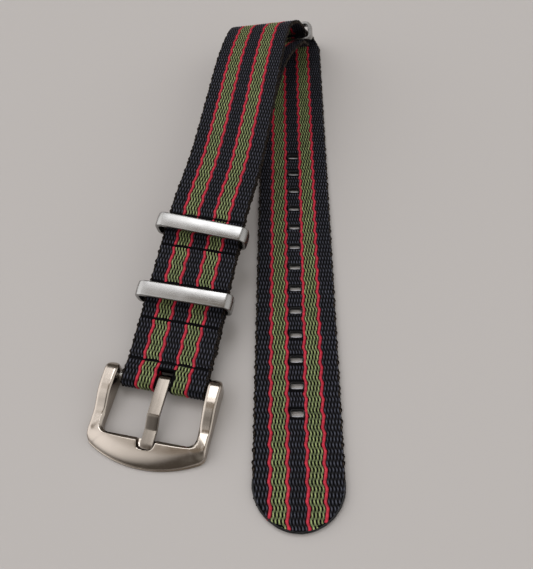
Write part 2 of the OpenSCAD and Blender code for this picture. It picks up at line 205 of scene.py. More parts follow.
def round_rect(half_w: float, half_h: float, radius: float, per_corner: int,
               per_side: int) -> tuple[Array, Array]:
    """Rounded rectangle, anticlockwise: four arcs joined by straight sides.

    Args:
        half_w: half its width.
        half_h: half its height.
        radius: corner radius.
        per_corner: steps in each arc.
        per_side: steps in each straight side.

    Returns:
        Points and outward unit normals, each with a row (x, y) a point.
    """
    points, normals = [], []
    for quarter, (sx, sy) in enumerate(((1, 1), (-1, 1), (-1, -1), (1, -1))):
        a = np.radians(90 * quarter + np.linspace(0, 90, per_corner + 1))
        out = np.stack([np.cos(a), np.sin(a)], -1)
        arc = np.array([sx * (half_w - radius), sy * (half_h - radius)]) + radius * out
        points.append(arc)
        normals.append(out)
    ring, ring_n = [], []
    for i in range(4):
        nxt = points[(i + 1) % 4][0]
        u = np.arange(1, per_side)[:, None] / per_side
        ring += [points[i], points[i][-1] + (nxt - points[i][-1]) * u]
        ring_n += [normals[i], np.repeat(normals[i][-1:], per_side - 1, 0)]
    return np.concatenate(ring), np.concatenate(ring_n)


@dataclass(frozen=True)
class Layout:
    """Sizes that the pieces share, the same as in the part's solids."""

    strap_w: float = 19.6
    strap_t: float = 1.3
    layer_gap: float = 0.05
    tail_len: float = 154.5
    rest_from_fold: float = 74.75
    tail_turn: float = 10.2
    hole_count: int = 13
    hole_pitch: float = 6.5
    hole_w: float = 3.0
    hole_l: float = 1.9
    tip_to_hole: float = 24.5
    run_len: float = 127.0
    run_shift: float = 7.3
    run_rise: float = 10.0
    first_weld: float = 4.4
    panel_len: float = 9.8
    pocket_len: float = 9.4
    pocket_ramp: float = 1.5
    tab_past_weld: float = 0.9
    under_lap: float = 6.0
    arch_h: float = 17.0
    arch_tilt: float = 11.5
    loop_play: float = 0.2
    keeper_play: float = 1.5
    keeper_h: float = 5.8
    keeper_band: float = 3.8
    keeper_wall: float = 1.05
    keeper_r: float = 1.9
    leg_clear: float = 0.08
    rear_slack: float = 1.2
    rear_twist: float = -3.0
    buckle_aside: float = 0.4
    end_keeper_lean: float = 44.0
    lobe_r: float = 2.6
    bar_r: float = 0.9

    @property
    def half_t(self) -> float:
        """Half the webbing's thickness."""
        return self.strap_t / 2

    @property
    def fold_end(self) -> Array:
        """Where the tail leaves the fold."""
        a = math.radians(self.tail_turn)
        return self.rest_from_fold * np.array([-math.sin(a), math.cos(a), 0])

    @property
    def bar_pos(self) -> Array:
        """Middle of the buckle's bar."""
        f = self.fold_end
        return np.array([f[0] - self.run_shift, f[1] - self.run_len, self.lobe_r])

    @property
    def buckle_pos(self) -> Array:
        """Middle of the buckle, which sits a little to the left of the webbing's middle."""
        return self.bar_pos - np.array([self.buckle_aside, 0, 0])

    @property
    def welds(self) -> Array:
        """Distances of the five welds from the bar, along the run."""
        gaps = [self.first_weld] + [self.panel_len, self.pocket_len] * 2
        return np.cumsum(gaps)

    @property
    def pair_level(self) -> float:
        """Height of the upper layer's middle above the run's plane."""
        return (self.strap_t + self.layer_gap) / 2

    @property
    def leg_level(self) -> float:
        """Height of the middle of a keeper's lower leg."""
        return -self.layer_gap / 2 - self.leg_clear / 2 - self.keeper_wall / 2

    @property
    def loop_r(self) -> float:
        """Radius of the webbing's middle round the bar."""
        return self.bar_r + self.loop_play + self.half_t

    def on_run(self, y: Array, level: Array, x: Array = 0.0) -> Array:
        """Points at distance y along the run, level above its plane and x across it."""
        a = math.radians(self.run_rise)
        y, level, x = np.broadcast_arrays(np.asarray(y, float), level, x)
        return self.bar_pos + np.stack(
            [x, y * math.cos(a) - level * math.sin(a), y * math.sin(a) + level * math.cos(a)], -1)

    def stations(self, y: Array, level: Array) -> Array:
        """Stations [x, y, z, tilt, turn] of webbing that lies on the run."""
        p = self.on_run(y, level)
        return np.concatenate([p, np.zeros(p.shape[:-1] + (2,))], -1)

    def bend_rows(self) -> Array:
        """Listed stations of the bend, from the last weld over the arch to the tail's start."""
        shares = np.array([
            [0.1, -0.53, 0.765, 0, 0], [0.05, -0.37, 0.93, 0.25, 0], [-0.06, -0.23, 1, 0.5, 0],
            [-0.1, -0.14, 0.97, 0.75, 0.05], [-0.08, -0.095, 0.918, 0.9, 0.15],
            [0.14, -0.058, 0.785, 1.1, 0.22], [0.38, -0.025, 0.46, 1.3, 0.35],
            [0.5, 0.004, 0.24, 0.9, 0.55], [0.66, 0.018, 0.14, 0.4, 0.8],
            [0.76, 0.0205, 0.078, 0.15, 0.95],
            [0.88, 0.012, (self.half_t + 0.05) / self.arch_h, 0, 1]])
        return self.share_rows(shares)

    def share_rows(self, shares: Array) -> Array:
        """Stations from shares of run_shift, run_len past the fold, arch_h, tilt and turn."""
        span = np.array([self.run_shift, self.run_len, self.arch_h, self.arch_tilt,
                         self.tail_turn])
        return np.array([self.bar_pos[0], self.fold_end[1], 0, 0, 0]) + shares * span

    @property
    def run_dir(self) -> Array:
        """Direction of the run, as a station's slope."""
        a = math.radians(self.run_rise)
        return np.array([0, math.cos(a), math.sin(a), 0, 0])

    @property
    def tail_dir(self) -> Array:
        """Direction of the tail from the fold to its tip, as a station's slope."""
        a = math.radians(self.tail_turn)
        return np.array([math.sin(a), -math.cos(a), 0, 0, 0])


def hermite(rows: Array, first: Array, last: Array, k: int, u: Array) -> Array:
    """Cubic between station k and k + 1, whose end slopes look at both neighbours.

    Args:
        rows: the stations.
        first: slope at the first station.
        last: slope at the last station.
        k: which piece.
        u: shares of the way along it, from 0 to 1.

    Returns:
        A station for each u.
    """
    gaps = np.linalg.norm(np.diff(rows[:, :3], axis=0), axis=1)
    chords = np.diff(rows, axis=0) / gaps[:, None]
    inner = ((chords[1:] * gaps[:-1, None] + chords[:-1] * gaps[1:, None])
             / (gaps[1:] + gaps[:-1])[:, None])
    slopes = np.concatenate([first[None], inner, last[None]])
    u = np.asarray(u, float)[:, None]
    return ((2 * u**3 - 3 * u**2 + 1) * rows[k] + (u**3 - 2 * u**2 + u) * gaps[k] * slopes[k]
            + (3 * u**2 - 2 * u**3) * rows[k + 1] + (u**3 - u**2) * gaps[k] * slopes[k + 1])


class Ribbon:
    """Middle line of a webbing and how it lies, sampled evenly along its length.

    The width direction w comes from a station's tilt and turn, the heading h from the line, and
    the outer face looks along n = w x h.
    """

    def __init__(self, stations: Array, spacing: float = 0.05) -> None:
        """Measures the line and samples it.

        Args:
            stations: dense rows [x, y, z, tilt, turn].
            spacing: distance between samples.
        """
        step_len = np.linalg.norm(np.diff(stations[:, :3], axis=0), axis=1)
        keep = np.concatenate([[True], step_len > 1e-6])
        stations = stations[keep]
        along = np.concatenate([[0], np.cumsum(step_len[step_len > 1e-6])])
        self.length = float(along[-1])
        self.s = np.linspace(0, self.length, int(self.length / spacing) + 1)
        even = np.stack([np.interp(self.s, along, stations[:, i]) for i in range(5)], -1)
        tilt, turn = np.radians(even[:, 3]), np.radians(even[:, 4])
        width = np.stack([np.cos(turn) * np.cos(tilt), np.sin(turn) * np.cos(tilt),
                          np.sin(tilt)], -1)
        heading = unit(np.gradient(even[:, :3], axis=0))
        self.table = np.concatenate([even[:, :3], width, unit(np.cross(width, heading))], -1)

    def place(self, s: Array, across: Array, up: Array) -> Array:
        """Points p(s) + across w(s) + up n(s).

        Args:
            s: distances along the webbing.
            across: distances from its middle, to the right.
            up: distances from its middle towards the outer face.

        Returns:
            Points, in the broadcast shape of the three.
        """
        s, across, up = np.broadcast_arrays(s, across, up)
        rows = np.stack([np.interp(s, self.s, self.table[:, i]) for i in range(9)], -1)
        return rows[..., :3] + across[..., None] * rows[..., 3:6] + up[..., None] * rows[..., 6:]


@dataclass(frozen=True)
class Weave:
    """How the warp yarns lie: rows of beads with small gaps between them, swaying in step.

    Widths are shares of a yarn's room, and heights are measured from the webbing's middle. The
    places are where the yarns stand in three rows, as shares of the sway. The red yarns hold
    back from it, and keep a more even width and height. A yarn's arch has points (share of its
    width, share of its height).
    """

    row: float = 1.28
    marks: tuple[float, ...] = (-0.5, -0.42, -0.33, -0.19, 0.0, 0.19, 0.33, 0.42)
    end_gap: float = 0.04
    sway: float = 0.5
    places: tuple[float, ...] = (-0.5, 0.5, 0.05)
    slant: float = 0.14
    red_hold_outer: float = 0.65
    red_hold_inner: float = 0.85
    arch: tuple[tuple[float, float], ...] = ((-0.5, 0), (-0.4, 0.66), (0, 1), (0.4, 0.66),
                                             (0.5, 0))
    narrow: float = 0.54
    wide: float = 1.26
    red_wide: float = 1.06
    uneven_width: float = 0.06
    base: float = 0.30
    crown: float = 0.65
    dip: float = 0.18
    red_lift: float = 0.35
    uneven_crown: float = 0.02
    pressed: float = 0.27
    red_pressed: float = 0.2
    melt_start: float = 0.1
    melt_end: float = 0.8
    melt_drop: float = 0.14
    melt_spread: float = 0.25

    def grid(self, start: float, end: float) -> Array:
        """Distances from start to end, eight a row, closest where the yarns part and meet."""
        rows = np.arange(math.floor(start / self.row), math.ceil(end / self.row) + 1)
        s = ((rows[:, None] + np.array(self.marks)) * self.row).ravel()
        s = s[(s > start + self.end_gap) & (s < end - self.end_gap)]
        return np.concatenate([[start], s, [end]])

    def aside(self, s: Array, face: Face, smooth: bool) -> Array:
        """Sway: one row to the right and two rows back, counted backwards on the outer face.

        Args:
            s: distances along the webbing.
            face: the face.
            smooth: whether the yarn eases from row to row, as the red ones do. The others hold
                their place in a row, lean a little, and cross over between the rows.

        Returns:
            Distance to the right of the yarn's own place.
        """
        x = -face.value * s / self.row
        k = np.floor(x + 1e-9).astype(int)
        f = x - k
        table = np.array(self.places) * self.sway
        share = 0.4 * f + 0.6 * step(0, 1, f) if smooth else 0.1 * f + 0.9 * step(0.2, 0.8, f)
        lean = self.slant * (f - step(0.28, 0.72, f))
        swing = table[k % 3] + (table[(k + 1) % 3] - table[k % 3]) * share
        hold = self.red_hold_inner if face is Face.INNER else self.red_hold_outer
        return hold * swing if smooth else swing + lean

    def from_row(self, s: Array) -> Array:
        """Distance in rows from the nearest row's middle, from 0 to 0.5."""
        x = s / self.row
        return np.abs(x - np.round(x))

    def parted(self, s: Array) -> Array:
        """1 in a row, where the yarns are narrow and parted, and 0 between rows."""
        return 1 - step(0.27, 0.5, self.from_row(s))

    def swell(self, s: Array) -> Array:
        """1 in a row's middle, where a yarn stands proud, and 0 between rows."""
        return 0.5 + 0.5 * np.cos(2 * np.pi * self.from_row(s))


@dataclass(frozen=True)
class Column:
    """One warp yarn on a face: where it lies, how much room it has and its colour."""

    at: float
    room: float
    yarn: Yarn


# Where the red yarns lie, the room of the red, left and right edge yarns, and the inner stripes.
RED_PLACES = (-6.0, -2.3, 1.82, 5.55)
RED_ROOM, LEFT_ROOM, RIGHT_ROOM = 0.72, 0.74, 0.73
STRIPES = ((4, Yarn.GREEN), (5, Yarn.BLACK), (4, Yarn.GREEN))


def striped_columns() -> list[Column]:
    """Warp yarns from left to right: black, green and black stripes parted by red yarns."""
    made = [Column(RED_PLACES[0] - LEFT_ROOM * k, LEFT_ROOM, Yarn.BLACK) for k in (4, 3, 2, 1)]
    for red, after, (count, yarn) in zip(RED_PLACES, RED_PLACES[1:], STRIPES):
        gap = (after - red) / (count + 1)
        made.append(Column(red, RED_ROOM, Yarn.RED))
        made += [Column(red + gap * (k + 1), gap, yarn) for k in range(count)]
    made.append(Column(RED_PLACES[3], RED_ROOM, Yarn.RED))
    return made + [Column(RED_PLACES[3] + RIGHT_ROOM * k, RIGHT_ROOM, Yarn.BLACK)
                   for k in (1, 2, 3, 4, 5)]


@dataclass(frozen=True)
class Cut:
    """A hole or slot in the webbing, from one distance to another, this far each side."""

    start: float
    end: float
    half_w: float


@dataclass(frozen=True)
class EdgeSizes:
    """A woven edge: the cord down it, and the loops of weft that wrap it at every row.

    Every third loop is tugged in, and the reach of them all waves a little.
    """

    inset: float = 0.38
    fat: float = 0.24
    swell: float = 0.04
    tight: float = 0.10
    half_h: float = 0.5
    spacing: float = 0.32
    loop_inset: float = 0.52
    reach: float = 0.46
    tug: float = 0.2
    wave: float = 0.07
    lean: float = 0.36
    weft_r: float = 0.13
    weft_half: float = 0.24


@dataclass(frozen=True)
class MeltSizes:
    """Melted rims round the holes and the tip, and the pale lips that paint a highlight on the
    holes.
    """

    rim: float = 0.2
    rim_h: float = 0.56
    rim_corner: float = 0.5
    lump: float = 0.05
    tip_inset: float = 0.3
    tip_rim: float = 0.27
    tip_h: float = 0.55
    lip_r: float = 0.15
    lip_back: float = 0.22
    lip_level: float = 0.46
    lip_short: float = 0.12


@dataclass
class Webbing:
    """A length of woven webbing: a dark core, warp yarns on both faces, and its selvedges."""

    name: str
    body: str
    ribbon: Ribbon
    start: float
    end: float
    finishes: "Finishes"
    cuts: list[Cut] = field(default_factory=list)
    presses: list[float] = field(default_factory=list)
    press_w: float = 0.7
    free_start: bool = False
    free_end: bool = False
    tip_r: float = 0.0
    half_w: float = 9.8
    core_half_w: float = 9.45
    core_half_t: float = 0.4
    core_bevel: float = 0.15
    cut_room: float = 0.18
    cut_clear: float = 0.42
    weave: Weave = Weave()
    edge: EdgeSizes = EdgeSizes()
    melt: MeltSizes = MeltSizes()
    pieces: list[bpy.types.Object] = field(default_factory=list)

    def build(self, blend: tuple[Array, Array] | None = None) -> bpy.types.Object:
        """Builds the core, the yarns, the selvedges, the melted edges and the painted highlight
        lips.

        Args:
            blend: for webbing that bends at the fold, where the tail's hold on it ends and
            where the run's begins. Only whether it is given is used: then the pieces are baked in
            place and not tied to the body.

        Returns:
            The core.
        """
        core = self.build_core()
        for yarn in Yarn:
            for face in Face:
                self.pieces.append(self.build_yarns(yarn, face))
        self.pieces.append(self.build_selvedge())
        if self.tip_r:
            self.pieces += [self.build_rims(), self.build_highlight_lips()]
        for piece in [core] + self.pieces:
            if blend is None:
                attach(piece, self.body)
            else:
                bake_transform(piece)
        return core

    def side_limit(self, s: Array) -> Array:
        """Half the width that is left at s: full, or sqrt(r^2 - d^2) in the rounded tip."""
        if not self.tip_r:
            return np.full_like(s, self.half_w)
        past = np.clip(s - (self.end - self.tip_r), 0, self.tip_r)
        return np.sqrt(np.maximum(self.tip_r**2 - past**2, 0))

    def spans(self, column: Column) -> list[tuple[float, float, bool, bool]]:
        """Stretches of a yarn between cuts and ends.

        Args:
            column: the yarn.

        Returns:
            Rows (start, end, start is cut, end is cut).
        """
        end = self.end
        if self.tip_r:
            reach = self.tip_r - 0.25
            end += math.sqrt(max(reach**2 - column.at**2, 0)) - self.tip_r - 0.1
        stops = [(self.start, self.free_start)]
        for cut in self.cuts:
            if abs(column.at) < cut.half_w + self.cut_room and cut.start < end:
                stops += [(cut.start - 0.12, True), (cut.end + 0.12, True)]
        stops.append((end, self.free_end))
        return [(a[0], b[0], a[1], b[1]) for a, b in zip(stops[::2], stops[1::2])
                if b[0] - a[0] > 0.5]

    def aside(self, column: Column, s: Array, face: Face) -> Array:
        """Middle of a yarn across the webbing: its sway, pushed clear of the holes' sides."""
        across = column.at + self.weave.aside(s, face, column.yarn is Yarn.RED)
        for cut in self.cuts:
            if abs(column.at) >= cut.half_w + self.cut_room:
                near = step(cut.start - 1.0, cut.start, s) * (1 - step(cut.end, cut.end + 1.0, s))
                short = np.maximum(cut.half_w + self.cut_clear - np.abs(across), 0)
                across = across + np.sign(column.at) * short * near
        limit = self.side_limit(s) - 0.45
        return np.clip(across, -limit, limit)

    def press(self, s: Array, face: Face) -> Array:
        """0 on plain webbing and 1 in the middle of a pressed weld on the outer face."""
        out, edge = np.zeros_like(s), self.press_w / 2
        for at in self.presses if face is Face.OUTER else ():
            out = np.maximum(out, 1 - step(edge - 0.15, edge + 0.15, np.abs(s - at)))
        return out

    def yarn_size(self, index: int, column: Column, face: Face, s: Array,
                  melt: Array) -> tuple[Array, Array]:
        """Width and crown of a yarn along its length.

        In a row a yarn is narrow and proud, between rows it is wide and low, and both ease into
        the melted ends and the welds. A red yarn is nearly even.

        Args:
            index: number of the yarn, which seeds its small unevenness.
            column: the yarn.
            face: the face.
            s: distances along the webbing.
            melt: share by which the yarn is melted.

        Returns:
            Widths, and heights of the crown above the webbing's middle.
        """
        weave, red = self.weave, column.yarn is Yarn.RED
        width = column.room * (weave.wide - (weave.wide - weave.narrow) * weave.parted(s))
        width *= 1 + weave.uneven_width * noise(s * 1.7, index + 5.0 * face.value)
        crown = weave.crown - weave.dip * (1 - weave.swell(s))
        crown -= weave.uneven_crown * (1 + noise(s * 2.3, 2.0 * index))
        if red:
            width = column.room * (weave.red_wide + weave.uneven_width * noise(s * 1.1, index))
            crown += weave.red_lift * (weave.crown - crown)
        press = self.press(s + 0.07 * math.sin(7.0 * column.at), face)
        crown -= (weave.red_pressed if red else weave.pressed) * press
        crown -= weave.melt_drop * melt
        width *= 1 + weave.melt_spread * melt
        return width, crown

    def build_yarns(self, yarn: Yarn, face: Face) -> bpy.types.Object:
        """Sweeps every yarn of one colour on one face: its arch, scaled along its length.

        A yarn is melted where it is cut: 1 at its end, and 0 a little way along it.

        Args:
            yarn: the colour.
            face: the face.

        Returns:
            The piece.
        """
        shells, weave = Shells(), self.weave
        arch = np.array(weave.arch)
        for index, column in enumerate(striped_columns()):
            if column.yarn is not yarn:
                continue
            for start, end, cut_start, cut_end in self.spans(column):
                s = weave.grid(start, end)
                melt = np.zeros_like(s)
                for from_end, is_cut in ((s - start, cut_start), (end - s, cut_end)):
                    if is_cut:
                        melt = np.maximum(melt, 1 - step(weave.melt_start, weave.melt_end,
                                                         from_end))
                width, crown = self.yarn_size(index, column, face, s, melt)
                across = self.aside(column, s, face)[:, None] + width[:, None] * arch[:, 0]
                up = weave.base + (crown - weave.base)[:, None] * arch[:, 1]
                points = self.ribbon.place(s[:, None], across, face.value * up)
                shells.add(points, pairs(s[:, None], np.linspace(0, 1, len(arch)) + 7.0 * index))
        name = f"{self.name}_{yarn.value}_{face.name.lower()}"
        return shells.build(name, self.finishes.yarns[yarn])

    def build_core(self) -> bpy.types.Object:
        """Sweeps the core's flat section with slanted shoulders, in parts between the cuts.

        Beside a cut there are two strips, one on each side of it. In the rounded tip the
        distances follow 1 - sin, closest at its end.
        """
        shells, t, bevel = Shells(), self.core_half_t, self.core_bevel
        up = np.array([-t + bevel, -t, -t, -t + bevel, t - bevel, t, t, t - bevel])
        inner = [at for cut in self.cuts for at in (cut.start, cut.end)]
        stops = [self.start, *inner, self.end]
        for i, (start, end) in enumerate(zip(stops, stops[1:])):
            if end - start < 0.01:
                continue
            s = np.linspace(start, end, max(int((end - start) / 0.3), 2) + 1)
            if self.tip_r and i == len(stops) - 2:
                bend = np.linspace(0, 1, 40)
                s = np.concatenate([np.linspace(start, end - self.tip_r, 60)[:-1],
                                    end - bevel - (self.tip_r - bevel) * (1 - np.sin(
                                        bend * np.pi / 2))])
            limit = np.minimum(np.maximum(self.side_limit(s) - 0.35, 0.3), self.core_half_w)
            strips = [(-limit, limit)]
            if i % 2:
                gap = np.full_like(s, self.cuts[i // 2].half_w)
                strips = [(-limit, -gap), (gap, limit)]
            for left, right in strips:
                across = np.stack([left, left + bevel, right - bevel, right,
                                   right, right - bevel, left + bevel, left], -1)
                shells.add(self.ribbon.place(s[:, None], across, up), pairs(s[:, None], across))
        return shells.build(f"{self.name}_core", self.finishes.core, 40)

    def build_selvedge(self) -> bpy.types.Object:
        """Sweeps a cord down each edge and wraps a loop of weft round it at every row.

        The cord is an ellipse that tightens at every third row. A loop is a half turn and a
        little more, from one face to the other, leaning along the webbing.
        """
        shells, edge, pitch = Shells(), self.edge, self.weave.row
        end = self.end - (self.tip_r + 0.2 if self.tip_r else 0)
        turn = np.linspace(0, 2 * np.pi, 8, endpoint=False)
        half = np.radians(np.linspace(-100, 100, 9))
        ring = np.linspace(0, 2 * np.pi, 5, endpoint=False)
        for side in (-1, 1):
            s = np.linspace(self.start, end, int((end - self.start) / edge.spacing) + 2)
            tight = np.exp(-((((s / (3 * pitch) + 0.25 * side) % 1) - 0.5) / 0.1)**2)
            fat = edge.fat + edge.swell * self.weave.swell(s) - edge.tight * tight
            across = side * (self.half_w - edge.inset + fat[:, None] * np.cos(turn)
                             + 0.04 * noise(s, side + 2.0)[:, None])
            points = self.ribbon.place(s[:, None], across, edge.half_h * np.sin(turn))
            shells.add(points, pairs(s[:, None], turn / (2 * np.pi)))
            for row in range(int((end - self.start) / pitch) - 1):
                at = self.start + (row + 0.8) * pitch
                tug = edge.tug if (row + (side > 0)) % 3 == 0 else 0.0
                wave = edge.wave * math.sin(2.9 * row + side)
                reach = edge.reach - tug + wave
                mid_s = at + edge.lean * half / half[-1]
                mid_a = self.half_w - edge.loop_inset + (reach + 0.04) * np.cos(half)
                mid_u = edge.half_h * np.sin(half)
                out_a = np.cos(half)[:, None] * np.cos(ring) * edge.weft_r
                out_u = np.sin(half)[:, None] * np.cos(ring) * edge.weft_r
                out_s = edge.weft_half * np.sin(ring)
                points = self.ribbon.place(mid_s[:, None] + out_s,
                                           side * (mid_a[:, None] + out_a),
                                           mid_u[:, None] + out_u)
                shells.add(points, pairs(half[:, None] * 0.5, ring / (2 * np.pi)))
        return shells.build(f"{self.name}_selvedge", self.finishes.selvedge)

    def build_highlight_lips(self) -> bpy.types.Object:
        """Lays a pale lip along the side of each hole that is nearer the tip: a painted highlight.

        A lip is a thin bar with round ends, a little bowed, on the inner face's edge of the hole,
        which is the upper one where the tail lies.
        """
        shells, melt = Shells(), self.melt
        turn = np.linspace(0, 2 * np.pi, 8, endpoint=False)
        u = np.linspace(-1, 1, 15)[:, None]
        thick = melt.lip_r * (1 - np.abs(u)**6)**0.5 + 0.01
        up = 0.05 * u**2 - melt.lip_level + 0.9 * thick * np.sin(turn)
        for cut in self.cuts:
            shake = 0.04 * noise(u * 3.1, cut.start)
            s = cut.end - melt.lip_back + shake + thick * np.cos(turn)
            shells.add(self.ribbon.place(s, u * (cut.half_w - melt.lip_short), up))
        return shells.build(f"{self.name}_hole_lips", self.finishes.lip)

    def build_rims(self) -> bpy.types.Object:
        """Sweeps a smooth melted rim round each hole and round the tip.

        The rim's section is an ellipse as high as the webbing, carried along a rounded
        rectangle, or along the tip's half circle.
        """
        shells, melt = Shells(), self.melt
        turn = np.linspace(0, 2 * np.pi, 10, endpoint=False)
        for cut in self.cuts:
            path, out = round_rect(cut.half_w + 0.06, (cut.end - cut.start) / 2 - 0.1,
                                   melt.rim_corner, 5, 6)
            k = np.arange(len(path))[:, None]
            grow = melt.rim * np.cos(turn) + melt.lump * noise(k * 0.9, cut.start)
            across = path[:, :1] + out[:, :1] * grow
            s = (cut.start + cut.end) / 2 + path[:, 1:] + out[:, 1:] * grow
            up = (melt.rim_h + 0.03 * np.sin(k * 1.3)) * np.sin(turn)
            shells.add(self.ribbon.place(s, across, up), looped=True)
        a = np.radians(np.linspace(-4, 184, 90))[:, None]
        thick = (melt.tip_rim + melt.lump * noise(a * 9, 4.0)) * np.cos(turn)
        r = self.tip_r - melt.tip_inset + thick
        s = self.end - self.tip_r + r * np.sin(a)
        up = (melt.tip_h - 0.05 * np.cos(5 * a)) * np.sin(turn)
        shells.add(self.ribbon.place(s, r * np.cos(a), up))
        return shells.build(f"{self.name}_rims", self.finishes.melted)


@dataclass
class LongWebbing:
    """The long webbing: its folded-back tab, loop, run, arch, fold and tail.

    The fold starts part of the way along the bend's eighth piece. The last weld is pressed a
    little before its place. Points kept off both ends of the fold are worked out, but only
    whether they are given is used: the fold's pieces are baked in place.
    """

    lay: Layout
    finishes: "Finishes"
    slot_half: float = 1.65
    slot_reach: float = 2.6
    fold_split: float = 0.35
    last_press_back: float = 0.8
    blend_after: float = 0.6
    blend_before: float = 1.2

    def line(self) -> tuple[Ribbon, float, float]:
        """Traces the middle line.

        Returns:
            The ribbon, and the distances at which the run gives way to the fold and the fold
            to the tail.
        """
        lay, u = self.lay, np.linspace(0, 1, 60)
        low = -lay.pair_level
        tab_end = lay.welds[1] + lay.tab_past_weld
        bend = np.concatenate([lay.stations(lay.welds[4:], lay.pair_level), lay.bend_rows(),
                               [[*lay.fold_end[:2], lay.half_t, 0, lay.tail_turn]]])
        pieces = [
            lay.stations(tab_end + (lay.first_weld - tab_end) * u, low + 0 * u),
            lay.stations(lay.first_weld * (1 - u), ease(low, -lay.loop_r, u)),
            lay.stations(-lay.loop_r * np.sin(np.pi * u), -lay.loop_r * np.cos(np.pi * u)),
            lay.stations(lay.first_weld * u, ease(lay.loop_r, lay.pair_level, u)),
            lay.stations(lay.first_weld + (lay.welds[4] - lay.first_weld) * u,
                         lay.pair_level + 0 * u)]
        cubic, split = partial(hermite, bend, lay.run_dir, lay.tail_dir), self.fold_split
        pieces += [cubic(k, u) for k in range(7)]
        parts = [cubic(7, split * u)]
        length = self.measure(pieces + parts)
        parts.append(cubic(7, split + (1 - split) * u))
        parts += [cubic(k, u) for k in range(8, 12)]
        folded = self.measure(pieces + parts)
        tail = bend[-1] + np.outer(lay.tail_len * u, lay.tail_dir)
        return Ribbon(np.concatenate(pieces + parts + [tail])), length, folded

    @staticmethod
    def measure(pieces: list[Array]) -> float:
        """Length of a line of stations."""
        p = np.concatenate(pieces)[:, :3]
        return float(np.linalg.norm(np.diff(p, axis=0), axis=1).sum())

    def build(self) -> None:
        """Builds the run, the fold and the tail."""
        lay = self.lay
        ribbon, to_fold, to_tail = self.line()
        rise = math.radians(lay.run_rise)
        rel = ribbon.table[:, :3] - lay.bar_pos
        along = rel[:, 1] * math.cos(rise) + rel[:, 2] * math.sin(rise)
        first = ribbon.s[(along < self.slot_reach) & (ribbon.s < to_fold / 2)]
        slot = Cut(float(first[0]), float(first[-1]), self.slot_half)
        over = ribbon.s[(along > lay.first_weld) & (ribbon.s > slot.end)][0]
        presses = [float(over + y - lay.first_weld) for y in lay.welds]
        presses[4] -= self.last_press_back
        run = Webbing("strap_run", "run", ribbon, 0.0, to_fold, self.finishes, [slot], presses,
                      free_start=True)
        core = run.build()
        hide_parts("strap_run")
        fold = Webbing("strap_fold", "run", ribbon, to_fold, to_tail, self.finishes)
        start = lay.fold_end + np.array([0, 0, lay.half_t])
        end = ribbon.place(np.array([to_fold]), 0.0, 0.0)[0]
        way = unit(end - start)
        core = fold.build(blend=(start + self.blend_after * way, end - self.blend_before * way))
        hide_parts("strap_fold")
        holes = [lay.tail_len - lay.tip_to_hole - i * lay.hole_pitch
                 for i in reversed(range(lay.hole_count))]
        cuts = [Cut(to_tail + d - lay.hole_l / 2, to_tail + d + lay.hole_l / 2, lay.hole_w / 2)
                for d in holes]
        tail = Webbing("strap_tail", "tail", ribbon, to_tail, ribbon.length, self.finishes, cuts,
                       free_end=True, tip_r=lay.strap_w / 2)
        core = tail.build()
        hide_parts("strap_tail")
        LOG.info("run %.1f mm, fold %.1f mm, tail %.1f mm", to_fold, to_tail - to_fold,
                 ribbon.length - to_tail)


@dataclass(frozen=True)
class EndKeeperPose:
    """Frame of the end keeper: across the strap, up its legs and down the strap's way."""

    lay: Layout
    aside: float = 0.25
    above_web: float = 0.65
    tilt_share: float = 1.1
    turn_share: float = 0.35

    @property
    def angles(self) -> tuple[float, float]:
        """Tilt and turn of the keeper in degrees, from those of the arch and the tail."""
        return self.tilt_share * self.lay.arch_tilt, self.turn_share * self.lay.tail_turn

    def axes(self) -> tuple[Array, Array, Array]:
        """Across, way and up: up is the leaning direction made square to across."""
        tilt, turn = (math.radians(a) for a in self.angles)
        across = np.array([math.cos(turn) * math.cos(tilt), math.sin(turn) * math.cos(tilt),
                           math.sin(tilt)])
        lean = math.radians(self.lay.end_keeper_lean)
        lean_dir = np.array([0, math.sin(lean), math.cos(lean)])
        up = unit(lean_dir - lean_dir @ across * across)
        return across, np.cross(up, across), up

    @property
    def centre(self) -> Array:
        """Middle of the keeper's opening."""
        lay = self.lay
        across, _, up = self.axes()
        leg = (lay.keeper_h - lay.keeper_wall) / 2
        held = lay.bend_rows()[6][:3]
        return (held + self.aside * across
                - (leg - lay.keeper_wall / 2 - lay.half_t - self.above_web) * up)


